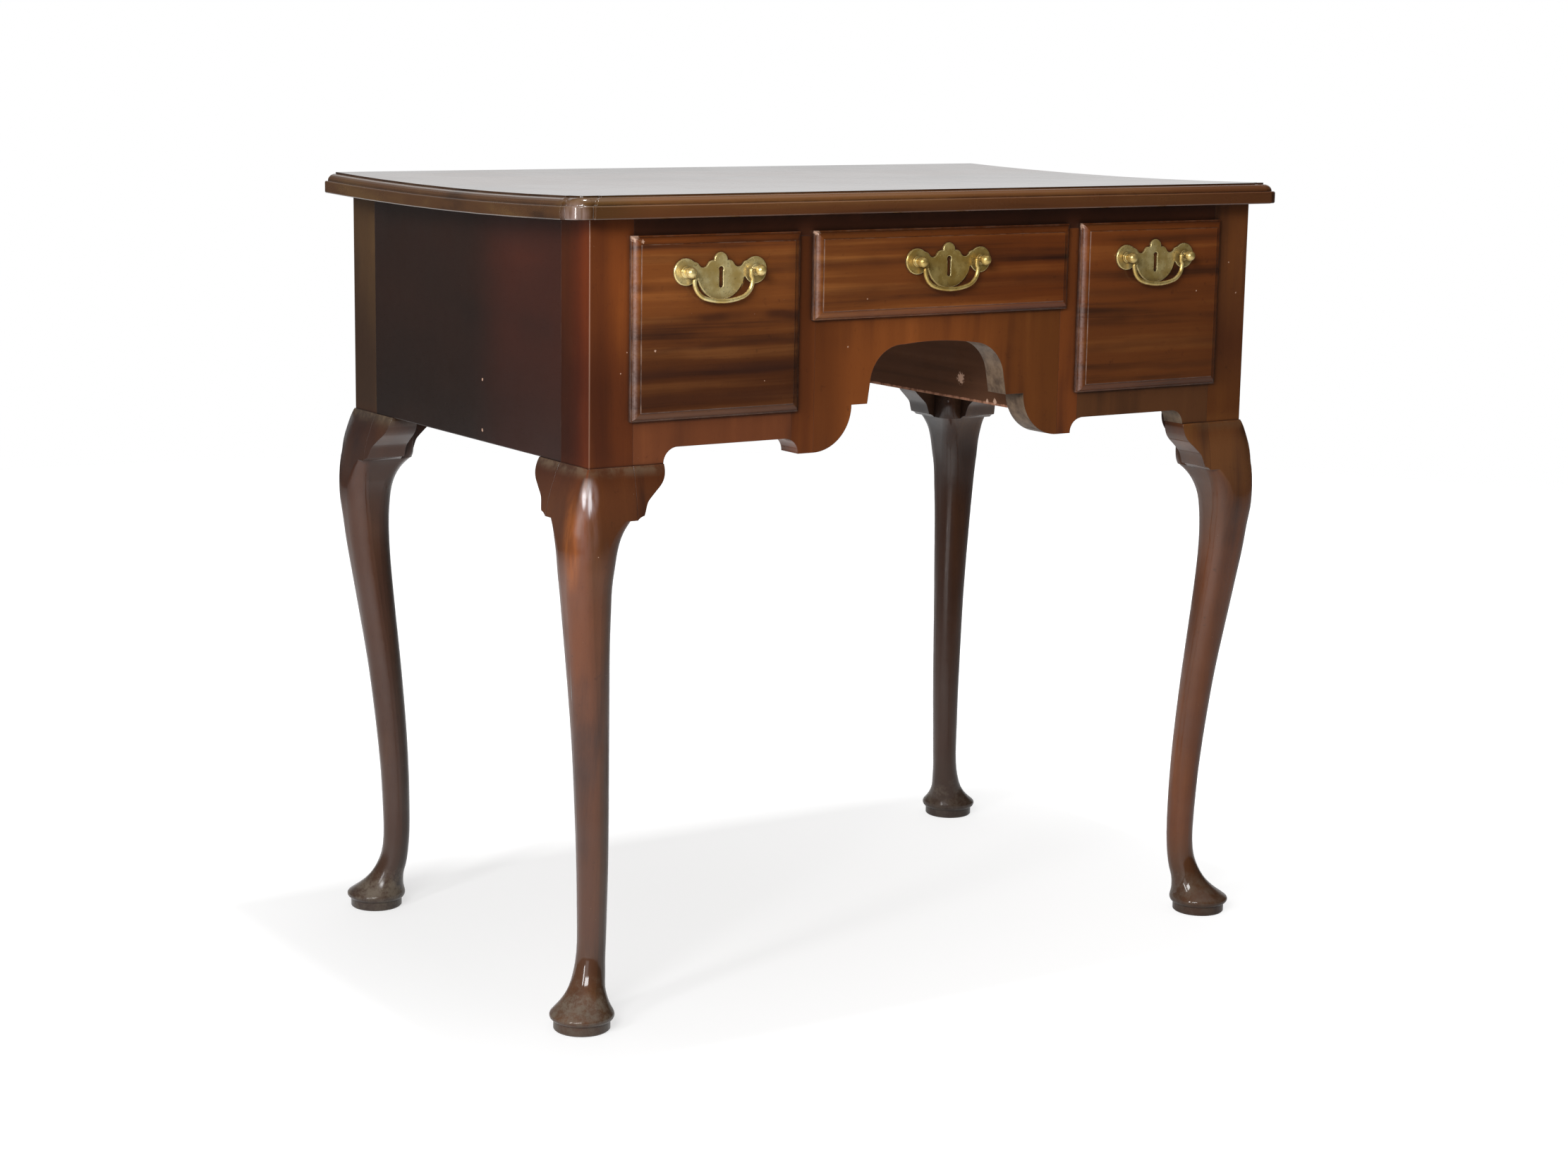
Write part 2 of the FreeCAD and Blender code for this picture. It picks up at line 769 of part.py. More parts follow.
def make_drawer(name, spec):
    """Front, two sides, back and bottom of one drawer, joined with dovetails and grooves."""
    x, z = drawer_box(spec)
    back_of_lip = case_front - front_gap
    sections = []
    steps = 5
    rise = front_proud - lip_edge - lip_quirk
    for step in range(steps + 1):
        angle = math.radians(88) * step / steps
        inset = lip_fillet + (lip_moulding - lip_fillet) * (1 - math.cos(angle))
        sections.append(lip_section(spec, inset, back_of_lip - lip_edge - rise * math.sin(angle)))
    ovolo = Part.makeLoft(sections, True, False)
    rim = slab(lip_section(spec, 0, back_of_lip), Vector(0, -lip_edge, 0))
    crown = back_of_lip - lip_edge - rise * math.sin(math.radians(88))
    field = slab(lip_section(spec, lip_moulding, crown), Vector(0, drawer_face - crown, 0))
    body = box(x, (back_of_lip, case_front + front_body), z)
    front = rim.fuse([ovolo, field, body]).removeSplitter()

    tail_start = case_front + front_body - tail_length
    front_end = case_front + front_body
    back_end = case_front + drawer_length
    back_start = back_end - board_thick
    groove = box(*drawer_bottom_box(spec, groove_play))
    rear_z = (z[0] + bottom_height + bottom_thick + groove_play, z[1] - 6.0)
    boards = {}
    sockets = []
    rear_sockets = []
    for index, label in ((0, "left"), (1, "right")):
        if index == 0:
            across = (x[0], x[0] + board_thick)
        else:
            across = (x[1] - board_thick, x[1])
        side = box(across, (front_end, back_start), z)
        front_tails = tails(spec, across, front_end, tail_start, z)
        rear_tails = tails(spec, across, back_start, back_end, rear_z)
        foot = box(across, (back_start, back_end), (z[0], rear_z[0] - groove_play))
        side = side.fuse(front_tails + rear_tails + [foot]).removeSplitter()
        boards["drawer_" + name + "_side_" + label] = side.cut(groove)
        sockets += front_tails
        rear_sockets += rear_tails
    handle_x = (spec["low_x"] + spec["high_x"]) / 2
    bores = []
    for offset in (-bore_half, bore_half):
        bores.append(Part.makeCylinder(
            post_shank + 0.1, 60, Vector(handle_x + offset, drawer_face - 10, spec["pivot"]),
            Vector(0, 1, 0)))
    front = front.cut(sockets + [groove] + bores)
    rear = box(x, (back_start, back_end), rear_z).cut(rear_sockets)
    bottom = box(*drawer_bottom_box(spec, 0))
    boards["drawer_" + name + "_front"] = front
    boards["drawer_" + name + "_back"] = rear
    boards["drawer_" + name + "_bottom"] = bottom
    return boards


# Handles

def plate_outline(inset, y):
    """The batwing back plate: round ends, a rounded shield and a lobed crest, drawn in by inset."""
    half_span = bore_half + rose_radius
    middle = -4.2
    across = 1 - inset / half_span
    upright = 1 - inset / 19.8

    def at(x, height):
        return Vector(x * across, y, middle + (height - middle) * upright)
    shield_z = -1.0
    rose_top = (bore_half - 7.6, math.sqrt(rose_radius ** 2 - 7.6 ** 2))
    join_angle = math.radians(-12)
    join = (shield_radius * math.cos(join_angle) + 0.05, shield_z + shield_radius * math.sin(join_angle))
    rose_low = (bore_half - 9.9, -math.sqrt(rose_radius ** 2 - 9.9 ** 2))
    right = [
        (at(finial_radius * 0.8, 13.2), at(finial_radius, 9.4)),
        at(6.0, 8.6),
        (at(9.4, 8.8), at(12.6, 6.4)),
        (at(17.6, 3.2), at(22.2, 6.4)),
        (at(24.2, 7.8), at(*rose_top)),
        (at(bore_half + rose_radius, 0), at(*rose_low)),
        at(*join),
    ]
    points = [step[1] if isinstance(step, tuple) else step for step in right]
    middles = [step[0] if isinstance(step, tuple) else None for step in right]

    def flip(p):
        return Vector(-p.x, p.y, p.z)
    top = at(0, 9.4 + finial_radius)
    steps = list(right)
    low = at(0, shield_z - shield_radius)
    quarter = math.radians(-51)
    steps.append((at(shield_radius * math.cos(quarter), shield_z + shield_radius * math.sin(quarter)), low))
    steps.append((flip(steps[-1][0]), flip(points[-1])))
    for index in range(len(right) - 1, -1, -1):
        end = flip(points[index - 1]) if index > 0 else top
        steps.append((flip(middles[index]), end) if middles[index] is not None else end)
    return wire(top, steps)


def make_plate(handle_x, z):
    """One plate with bevelled edges, its two bores and its keyhole."""
    square = plate_thick - plate_bevel
    plate = slab(plate_outline(0, 0), Vector(0, -square, 0))
    bevel = Part.makeLoft([plate_outline(0, -square), plate_outline(plate_bevel, -plate_thick)], True, True)
    plate = plate.fuse(bevel)
    holes = []
    for offset in (-bore_half, bore_half):
        holes.append(Part.makeCylinder(post_shank + 0.1, 10, Vector(offset, -5, 0), Vector(0, 1, 0)))
    slot = box((-key_slot_half, key_slot_half), (-5, 5), (-12.0, 1.5))
    slot = slot.fuse(Part.makeCylinder(key_slot_half + 0.5, 10, Vector(0, -5, 1.5), Vector(0, 1, 0)))
    slot = slot.fuse(Part.makeCylinder(key_slot_half, 10, Vector(0, -5, -12.0), Vector(0, 1, 0)))
    plate = plate.cut(holes + [slot])
    plate.translate(Vector(handle_x, drawer_face, z))
    return plate


def make_post():
    """A turned post with a ball head, drilled across its neck for the bail, shank to the back."""
    inside = front_proud + front_gap + front_body + nut_thick + 2.0
    neck_end = ball_reach - math.sqrt(ball_radius ** 2 - post_neck ** 2)
    seat = plate_thick

    def at(radius, reach):
        return Vector(radius, -reach, 0)
    profile = wire(at(0, -inside), [
        at(post_shank, -inside),
        at(post_shank, seat),
        at(post_collar, seat),
        (at(post_collar + 0.4, seat + 0.6), at(post_collar, seat + 1.2)),
        at(post_neck, seat + 1.6),
        at(post_neck, neck_end),
        (at(ball_radius, ball_reach), at(0, ball_reach + ball_radius)),
    ])
    return Part.Face(profile).revolve(Vector(0, 0, 0), Vector(0, 1, 0), 360)


def make_posts(handle_x, z):
    """The two posts of a handle."""
    solids = []
    for side in (-1, 1):
        post = make_post()
        hole_start = Vector(0, -pivot_reach, 0)
        hole = Part.makeCylinder(pin_radius + pin_play, 6.0, hole_start, Vector(-side, 0, 0))
        post = post.cut(hole)
        post.translate(Vector(handle_x + side * bore_half, drawer_face, z))
        solids.append(post)
    return Part.makeCompound(solids)


def make_nuts(handle_x, z):
    """The two square nuts behind the drawer front."""
    solids = []
    y = case_front + front_body
    for side in (-1, 1):
        x = handle_x + side * bore_half
        nut = box((x - nut_width / 2, x + nut_width / 2), (y, y + nut_thick),
                  (z - nut_width / 2, z + nut_width / 2))
        hole = Part.makeCylinder(post_shank + 0.05, 20, Vector(x, y - 5, z), Vector(0, 1, 0))
        solids.append(nut.cut(hole))
    return Part.makeCompound(solids)


def make_bail(handle_x, z):
    """The drop handle: a bent rod whose ends turn outwards into the posts."""
    y = drawer_face - pivot_reach
    swing = bail_bottom_radius
    centre_z = z - bail_drop + swing
    # the bottom arc meets the corner arc where both share a normal
    corner_radius = bail_corner_radius
    tilt = math.asin((bail_belly_x - corner_radius) / (swing - corner_radius))
    meet_x = swing * math.sin(tilt)
    meet_z = centre_z - swing * math.cos(tilt)
    corner_x = bail_belly_x - corner_radius
    corner_z = centre_z - (swing - corner_radius) * math.cos(tilt)
    mid_angle = (math.pi / 2 - tilt) / 2
    mid = Vector(corner_x + corner_radius * math.cos(mid_angle), y,
                 corner_z - corner_radius * math.sin(mid_angle))
    # two small arcs of opposite bend bring the belly in to the arm
    offset = bail_belly_x - bail_arm_x
    rise = bail_bend_rise
    turn = 2 * math.atan(offset / rise)
    bend = rise / (2 * math.sin(turn))
    low_mid = Vector(bail_belly_x - bend * (1 - math.cos(turn / 2)), y, corner_z + bend * math.sin(turn / 2))
    centre = Vector((bail_belly_x + bail_arm_x) / 2, y, corner_z + rise / 2)
    high_mid = Vector(bail_arm_x + bend * (1 - math.cos(turn / 2)), y,
                      corner_z + rise - bend * math.sin(turn / 2))
    arm_low = Vector(bail_arm_x, y, corner_z + rise)

    def flip(p):
        return Vector(-p.x, p.y, p.z)
    arm_top = Vector(bail_arm_x, y, z)
    belly = Vector(bail_belly_x, y, corner_z)
    meet = Vector(meet_x, y, meet_z)
    edges = [
        Part.LineSegment(arm_top, arm_low).toShape(),
        Part.Arc(arm_low, high_mid, centre).toShape(),
        Part.Arc(centre, low_mid, belly).toShape(),
        Part.Arc(belly, mid, meet).toShape(),
        Part.Arc(meet, Vector(0, y, z - bail_drop), flip(meet)).toShape(),
        Part.Arc(flip(meet), flip(mid), flip(belly)).toShape(),
        Part.Arc(flip(belly), flip(low_mid), flip(centre)).toShape(),
        Part.Arc(flip(centre), flip(high_mid), flip(arm_low)).toShape(),
        Part.LineSegment(flip(arm_low), flip(arm_top)).toShape(),
    ]
    path = Part.Wire(edges)
    ring = Part.Wire(Part.makeCircle(bail_radius, arm_top, Vector(0, 0, -1)))
    rod = path.makePipeShell([ring], True, True)
    ends = []
    for side in (-1, 1):
        ends.append(Part.makeSphere(bail_radius, Vector(side * bail_arm_x, y, z)))
        pin_length = bore_half - bail_arm_x - 0.4
        ends.append(Part.makeCylinder(pin_radius, pin_length, Vector(side * bail_arm_x, y, z), Vector(side, 0, 0)))
    bail = rod.fuse(ends)
    bail.translate(Vector(handle_x, 0, 0))
    return bail


# Assembly

def build():
    nodes = {"top": make_top()}
    nodes.update(make_legs())
    nodes.update(make_knee_blocks())
    nodes["back_board"] = make_back_board()
    nodes["top_rail"] = make_top_rail()
    nodes["apron"] = make_apron()
    nodes["side_panel_left"] = make_side_panel()
    nodes["side_panel_right"] = mirrored_x(nodes["side_panel_left"])
    pairs = {
        "lower_rail": make_lower_rail(),
        "divider": make_divider(),
        "partition": make_partition(),
        "centre_runner": make_centre_runner(),
        "inner_runner": make_inner_runner(),
        "outer_runner": make_outer_runner(),
        "kicker": make_kicker(),
    }
    for name, shape in pairs.items():
        nodes[name + "_right"] = shape
        nodes[name + "_left"] = mirrored_x(shape)
    above = space_above_case()
    for name, shape in nodes.items():
        if name != "top" and shape.BoundBox.ZMax > case_top - cup_depth:
            nodes[name] = shape.cut(above)
    for name, spec in drawer_specs.items():
        nodes.update(make_drawer(name, spec))
        handle_x = (spec["low_x"] + spec["high_x"]) / 2
        nodes["plate_" + name] = make_plate(handle_x, spec["pivot"])
        nodes["handle_posts_" + name] = make_posts(handle_x, spec["pivot"])
        nodes["handle_nuts_" + name] = make_nuts(handle_x, spec["pivot"])
        nodes["bail_" + name] = make_bail(handle_x, spec["pivot"])
    return nodes


os.makedirs("parts", exist_ok=True)
for node_name, node_shape in build().items():
    node_shape.exportStep("parts/" + node_name + ".step")
    box_size = node_shape.BoundBox
    print("%-32s %2d solids %9.1f mm3 valid %s  x %.1f..%.1f y %.1f..%.1f z %.1f..%.1f" % (
        node_name, len(node_shape.Solids), node_shape.Volume, node_shape.isValid(),
        box_size.XMin, box_size.XMax, box_size.YMin, box_size.YMax, box_size.ZMin, box_size.ZMax))
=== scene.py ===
import math

import bpy
from mathutils import Matrix, Vector

# The looks of a mahogany lowboy with three drawers and four cabriole legs. Metres, +Z up, front to -Y.

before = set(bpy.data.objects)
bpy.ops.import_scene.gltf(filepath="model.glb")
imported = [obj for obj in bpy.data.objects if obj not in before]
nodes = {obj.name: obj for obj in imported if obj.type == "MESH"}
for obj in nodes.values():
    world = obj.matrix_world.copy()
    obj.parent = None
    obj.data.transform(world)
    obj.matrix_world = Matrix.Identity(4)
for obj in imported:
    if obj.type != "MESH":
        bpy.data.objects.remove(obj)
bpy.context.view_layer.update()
scene = bpy.context.scene
scene.view_settings.view_transform = "Standard"
print("frame loaded:", len(nodes), "nodes")


# Colours and node helpers. A ramp is (low, high), then its values at each end where they aren't 0 and 1.
# A noise is (scale, detail, roughness).

def shade(red, green, blue):
    # a colour as seen on a screen, 0 to 255, as Blender's linear values
    linear = []
    for channel in (red, green, blue):
        value = channel / 255
        linear.append(value / 12.92 if value <= 0.04045 else ((value + 0.055) / 1.055) ** 2.4)
    return (*linear, 1.0)


def emptyTree(owner):
    # the cleared node tree of a material or a world
    owner.use_nodes = True
    owner.node_tree.nodes.clear()
    return owner.node_tree


class Tree:
    # one node tree with short calls for the nodes that the finishes use

    def __init__(self, tree):
        self.tree = tree

    def put(self, socket, value):
        if value is None:
            return
        if isinstance(value, bpy.types.NodeSocket):
            self.tree.links.new(value, socket)
        else:
            socket.default_value = value

    def node(self, kind, **settings):
        made = self.tree.nodes.new(kind)
        for name, value in settings.items():
            setattr(made, name, value)
        return made

    def math(self, operation, a, b=None, clamp=False):
        made = self.node("ShaderNodeMath", operation=operation, use_clamp=clamp)
        self.put(made.inputs[0], a)
        self.put(made.inputs[1], b)
        return made.outputs[0]

    def times(self, product, *others, clamp=False):
        for other in others:
            product = self.math("MULTIPLY", product, other, clamp)
        return product

    def plus(self, a, b, clamp=False):
        return self.math("ADD", a, b, clamp)

    def minus(self, a, b):
        return self.math("SUBTRACT", a, b)

    def over(self, a, b):
        return self.math("DIVIDE", a, b)

    def least(self, a, b):
        return self.math("MINIMUM", a, b)

    def most(self, a, b):
        return self.math("MAXIMUM", a, b)

    def positive(self, a):
        return self.math("ABSOLUTE", a)

    def vector(self, operation, a, b=None):
        made = self.node("ShaderNodeVectorMath", operation=operation)
        self.put(made.inputs[0], a)
        self.put(made.inputs[1], b)
        return made.outputs["Value"] if operation in ("DOT_PRODUCT", "LENGTH") else made.outputs["Vector"]

    def mix(self, factor, a, b, blend="MIX"):
        made = self.node("ShaderNodeMix", data_type="RGBA", blend_type=blend)
        self.put(made.inputs[0], factor)
        self.put(made.inputs[6], a)  # the colour sockets follow the plain and the vector ones
        self.put(made.inputs[7], b)
        return made.outputs[2]

    def blend(self, factor, a, b):
        made = self.node("ShaderNodeMix", data_type="FLOAT")
        self.put(made.inputs[0], factor)
        self.put(made.inputs[2], a)
        self.put(made.inputs[3], b)
        return made.outputs[0]

    def span(self, value, low, high, start=0.0, end=1.0):
        # smooth step of a value from low..high to start..end
        made = self.node("ShaderNodeMapRange", interpolation_type="SMOOTHSTEP")
        for name, given in zip(("Value", "From Min", "From Max", "To Min", "To Max"),
                               (value, low, high, start, end)):
            self.put(made.inputs[name], given)
        return made.outputs["Result"]

    def noise(self, place, scale, detail, roughness, turn=None):
        made = self.node("ShaderNodeTexNoise", noise_dimensions="4D" if turn is not None else "3D")
        self.put(made.inputs["Vector"], place)
        self.put(made.inputs["Scale"], scale)
        self.put(made.inputs["Detail"], detail)
        self.put(made.inputs["Roughness"], roughness)
        if turn is not None:
            self.put(made.inputs["W"], turn)
        return made.outputs["Fac"]

    def split(self, place):
        made = self.node("ShaderNodeSeparateXYZ")
        self.put(made.inputs[0], place)
        return made.outputs[0], made.outputs[1], made.outputs[2]

    def join(self, x, y, z):
        made = self.node("ShaderNodeCombineXYZ")
        for socket, value in zip(made.inputs, (x, y, z)):
            self.put(socket, value)
        return made.outputs[0]

    def bump(self, height, strength, distance, normal):
        made = self.node("ShaderNodeBump")
        self.put(made.inputs["Height"], height)
        self.put(made.inputs["Strength"], strength)
        self.put(made.inputs["Distance"], distance)
        self.put(made.inputs["Normal"], normal)
        return made.outputs["Normal"]

    def rounded(self, radius):
        # the normal of a surface with slightly rounded arrises
        made = self.node("ShaderNodeBevel", samples=10)
        self.put(made.inputs["Radius"], radius)
        return made.outputs["Normal"]

    def sheltered(self, reach, ramp):
        # how much other surfaces close in on a place
        made = self.node("ShaderNodeAmbientOcclusion", samples=6, only_local=False)
        self.put(made.inputs["Distance"], reach)
        return self.span(made.outputs["AO"], *ramp)

    def surface(self, shader, kind="ShaderNodeOutputMaterial"):
        self.tree.links.new(shader.outputs[0], self.node(kind).inputs["Surface"])


socketKinds = {"value": "NodeSocketFloat", "colour": "NodeSocketColor", "vector": "NodeSocketVector"}


def newGroup(name, inputs, outputs):
    # a shader node group with named sockets; inputs are (name, kind, default)
    group = bpy.data.node_groups.new(name, "ShaderNodeTree")
    for socketName, kind, default in inputs:
        socket = group.interface.new_socket(name=socketName, in_out="INPUT", socket_type=socketKinds[kind])
        if default is not None:
            socket.default_value = default
    for socketName, kind in outputs:
        group.interface.new_socket(name=socketName, in_out="OUTPUT", socket_type=socketKinds[kind])
    entry = group.nodes.new("NodeGroupInput")
    leave = group.nodes.new("NodeGroupOutput")
    return Tree(group), entry.outputs, leave.inputs


def place(tree, group, **values):
    # a group in a tree, its sockets set by name
    made = tree.node("ShaderNodeGroup", node_tree=group)
    for name, value in values.items():
        tree.put(made.inputs[name], value)
    return made.outputs


# Effects shared by the finishes

figureShape = {  # each layer's scales are along the grain, across it and deep into the board
    "sway": (6.0, 8.0, 8.0), "swayReach": 4.0,
    "ribbonDeep": 14.0, "ribbonWeight": 2.6,
    "narrowAlong": 7.0, "narrowAcross": 3.7, "narrowDeep": 60.0, "narrowWeight": 0.6,
    "streak": (12.0, 620.0, 260.0), "cloud": (17.0, 13.0, 13.0),
    "vessel": (110.0, 1900.0, 1900.0), "pores": (0.12, 0.26), "poreDepth": 0.3,
}


def makeFigureGroup():
    # ribbons, streaks and pores of mahogany; Grain runs along X
    tree, given, out = newGroup(
        "ribbonGrain",
        [("Grain", "vector", None), ("Seed", "value", 0.0),
         ("Band", "value", 0.012), ("Stretch", "value", 2.0), ("Wave", "value", 0.003),
         ("Streak", "value", 0.25), ("Cloud", "value", 0.3), ("Contrast", "value", 1.0),
         ("Light", "colour", None), ("Middle", "colour", None), ("Dark", "colour", None)],
        [("Color", "colour"), ("Pores", "value")])
    shape = figureShape

    def layer(spot, scales, detail=1.0, roughness=0.5):
        scaled = tree.join(*(tree.times(part, scale) for part, scale in zip(spot, scales)))
        return tree.minus(tree.noise(scaled, 1.0, detail, roughness, turn=given["Seed"]), 0.5)

    x, y, z = tree.split(given["Grain"])
    shift = tree.times(layer((x, y, z), shape["sway"]), tree.times(given["Wave"], shape["swayReach"]))
    spot = (x, tree.plus(y, shift), tree.plus(z, shift))
    wide = tree.over(1.0, given["Band"])
    ribbon = layer(spot, (given["Stretch"], wide, shape["ribbonDeep"]))
    narrower = tree.times(wide, shape["narrowAcross"])
    narrow = layer(spot, (shape["narrowAlong"], narrower, shape["narrowDeep"]))
    streak = layer(spot, shape["streak"], detail=3.0, roughness=0.65)
    cloud = layer(spot, shape["cloud"], detail=2.0, roughness=0.55)
    figure = tree.times(ribbon, shape["ribbonWeight"])
    weights = (shape["narrowWeight"], given["Streak"], given["Cloud"])
    for part, weight in zip((narrow, streak, cloud), weights):
        figure = tree.plus(figure, tree.times(part, weight))
    figure = tree.plus(tree.times(figure, given["Contrast"]), 0.5, clamp=True)
    lower = tree.mix(tree.span(figure, 0.0, 0.5), given["Dark"], given["Middle"])
    colour = tree.mix(tree.span(figure, 0.5, 1.0), lower, given["Light"])
    pores = tree.span(layer(spot, shape["vessel"]), *shape["pores"])
    tree.put(out["Color"], tree.mix(tree.times(pores, shape["poreDepth"]), colour, given["Dark"]))
    tree.put(out["Pores"], pores)
    return tree.tree


edgeShape = {
    "turn": (0.01, 0.16), "patchDetail": 4.0, "patchRoughness": 0.6, "lift": 0.5, "broken": (0.55, 0.8),
}


def makeEdgeGroup():
    # Edge is 1 on an arris, broken up as rubbing leaves it; Soft is a slightly rounded normal
    tree, given, out = newGroup(
        "edgeWear",
        [("Place", "vector", None), ("Radius", "value", 0.0012), ("Amount", "value", 0.7),
         ("Patch", "value", 60.0), ("Seed", "value", 0.0)],
        [("Edge", "value"), ("Soft", "vector")])
    shape = edgeShape
    soft = tree.rounded(given["Radius"])
    plain = tree.node("ShaderNodeNewGeometry").outputs["Normal"]
    sharp = tree.span(tree.minus(1.0, tree.vector("DOT_PRODUCT", soft, plain)), *shape["turn"])
    patches = tree.noise(given["Place"], given["Patch"], shape["patchDetail"], shape["patchRoughness"],
                         turn=given["Seed"])
    broken = tree.span(tree.plus(patches, tree.times(given["Amount"], shape["lift"])), *shape["broken"])
    tree.put(out["Edge"], tree.times(sharp, broken, clamp=True))
    tree.put(out["Soft"], soft)
    return tree.tree


shadeGrimeShape = {
    "gathers": (0.95, 0.35), "patchNoise": (40.0, 4.0, 0.6), "patches": (0.25, 0.6),
    "hazeNoise": (11.0, 5.0, 0.65), "haze": (0.32, 0.72),
}


def makeShadeGrimeGroup():
    # the first output is shade painted where surfaces meet, with grime, broken into patches; Haze is the
    # uneven bloom of old polish
    tree, given, out = newGroup(
        "shadeGrimeAndHaze",
        [("Place", "vector", None), ("Reach", "value", 0.012), ("Seed", "value", 0.0)],
        [("ShadeAndGrime", "value"), ("Haze", "value")])
    shape = shadeGrimeShape
    corners = tree.sheltered(given["Reach"], shape["gathers"])
    patches = tree.noise(given["Place"], *shape["patchNoise"], turn=given["Seed"])
    patches = tree.span(patches, *shape["patches"])
    tree.put(out["ShadeAndGrime"], tree.times(corners, patches, clamp=True))
    bloom = tree.noise(given["Place"], *shape["hazeNoise"], turn=given["Seed"])
    tree.put(out["Haze"], tree.span(bloom, *shape["haze"]))
    return tree.tree


fleckShape = {"noise": (700.0, 3.0, 0.6), "ragged": 2.2, "edge": (1.15, 0.7)}


def makeFleckGroup():
    # a chip or fleck with a ragged outline around a place
    tree, given, out = newGroup(
        "fleck",
        [("Place", "vector", None), ("Centre", "vector", None), ("Size", "value", 0.002)],
        [("Mask", "value")])
    shape = fleckShape
    ragged = tree.minus(tree.noise(given["Place"], *shape["noise"]), 0.5)
    away = tree.vector("LENGTH", tree.vector("SUBTRACT", given["Place"], given["Centre"]))
    share = tree.plus(tree.over(away, given["Size"]), tree.times(ragged, shape["ragged"]))
    tree.put(out["Mask"], tree.span(share, *shape["edge"]))
    return tree.tree


figureGroup = makeFigureGroup()
edgeGroup = makeEdgeGroup()
shadeGrimeGroup = makeShadeGrimeGroup()
fleckGroup = makeFleckGroup()
print("shared effects made")


# Wood, with a short function for each thing that making and time have done to it, and for the light and
# shade painted on it

woodSettings = {
    "light": shade(148, 84, 40), "middle": shade(118, 63, 27), "dark": shade(74, 39, 22),
    "wornAndHighlight": shade(190, 154, 132), "grimeAndShade": shade(26, 15, 10), "rawAndHighlight": shade(122, 103, 82),
    "rubbedAndSheen": shade(170, 148, 142), "splinter": shade(170, 122, 98), "scuffed": shade(112, 101, 88),
    "roughness": 0.5, "smoother": 0.06, "haze": 0.25, "hazeShare": 0.4, "specular": 0.12,
    "coat": 0.9, "coatFade": 0.3, "coatRoughness": 0.14, "rearRoughness": 0.2, "kneeRoughness": 0.045,
    "band": 0.014, "stretch": 2.0, "wave": 0.003, "streak": 0.3, "cloud": 0.5, "contrast": 1.0,
    "tints": (), "bands": (), "stains": 0.35, "nicks": 0.35, "glintsAndRubs": (), "flecks": (),
    "wear": 0.6, "edgeRadius": 0.0012, "edgeTone": "wornAndHighlight", "grimeAndShadeAmount": 0.75,
    "sawn": 0.0, "lip": 0.0, "lowEdge": 0.0, "footWear": 0.0,
    "kneeRadius": 0.0, "kneeFlank": (0.76, 0.84, 0.95, 1.0),
    "arris": 0.0, "flank": (0.95, 0.68, 0.5, 1.0), "flankDull": 0.45,
    "shadeReach": 0.03, "shadeAmount": 0.45, "shade": (1.0, 0.45),
    "wobbleNoise": (38.0, 2.0, 0.5), "wobble": 0.3, "poreDepth": 0.1, "poreRoughness": 0.1,
    "bump": 0.3, "bumpDepth": 0.0006, "coatWobble": 0.25, "coatDepth": 0.0004,
}


class Wood(Tree):
    # one board's finish as it is built up, with its colour and the polish that is left on it

    def __init__(self, name, seed, look):
        self.material = bpy.data.materials.new(name)
        super().__init__(emptyTree(self.material))
        self.seed = seed
        self.look = look
        coordinates = self.node("ShaderNodeTexCoord").outputs
        self.spot = coordinates["Object"]
        self.x, self.y, self.z = self.split(self.spot)
        self.right, self.back, self.up = self.split(coordinates["Normal"])  # which way the surface faces

    def lay(self, mask, tone, blend="MIX"):
        # a tone over the colour so far
        self.colour = self.mix(mask, self.colour, tone, blend)

    def dull(self, mask, share):
        # a share of the polish lost
        self.coat = self.times(self.coat, self.minus(1.0, self.times(mask, share)))

    def corner(self):
        # 0 on a face to the front or side, more where one turns into the other
        return self.least(self.positive(self.right), self.positive(self.back))


def layTints(wood):
    # tones laid over part of the board, where their ramps along an axis or by facing meet
    axes = {"x": wood.x, "y": wood.y, "z": wood.z, "right": wood.right}
    for tint, *ramps in wood.look["tints"]:
        masks = [wood.span(axes[axis], low, high) for axis, low, high in ramps]
        wood.lay(wood.times(*masks), (*tint, 1.0), "MULTIPLY")


bandShape = {
    "waverNoise": (11.0, 2.0, 0.5), "waver": 0.014, "core": 0.15,
    "fadeNoise": (23.0, 1.0, 0.5), "fade": (0.25, 0.6, 0.35, 1.0), "turn": 100,
}


def layBands(wood):
    # single dark bands of the figure, wavering as they cross the board: height, half width, amount
    shape = bandShape
    for centre, half, amount in wood.look["bands"]:
        waver = wood.minus(wood.noise(wood.spot, *shape["waverNoise"], turn=wood.seed), 0.5)
        waver = wood.times(waver, shape["waver"])
        gap = wood.positive(wood.minus(wood.plus(wood.z, waver), centre))
        fade = wood.noise(wood.spot, *shape["fadeNoise"], turn=centre * shape["turn"])
        fade = wood.times(wood.span(fade, *shape["fade"]), amount)
        wood.lay(wood.times(wood.span(gap, half, half * shape["core"]), fade), wood.look["dark"])


knocks = {
    "stains": {"noise": (130.0, 4.0, 0.7), "ramp": (0.6, 0.74), "tone": "grimeAndShade"},
    "nicks": {"noise": (520.0, 3.0, 0.6), "ramp": (0.72, 0.78), "tone": "wornAndHighlight"},
}


def addKnocks(wood):
    # spots of a long life: small dark stains and smaller pale nicks
    for kind, knock in knocks.items():
        mask = wood.span(wood.noise(wood.spot, *knock["noise"], turn=wood.seed), *knock["ramp"])
        wood.lay(wood.times(mask, wood.look[kind]), wood.look[knock["tone"]])


sawnShape = {
    "sideways": (0.8, 0.5), "cloudNoise": (90.0, 4.0, 0.65), "dirt": (0.2, 0.75, 0.15, 0.85), "dull": 0.8,
}


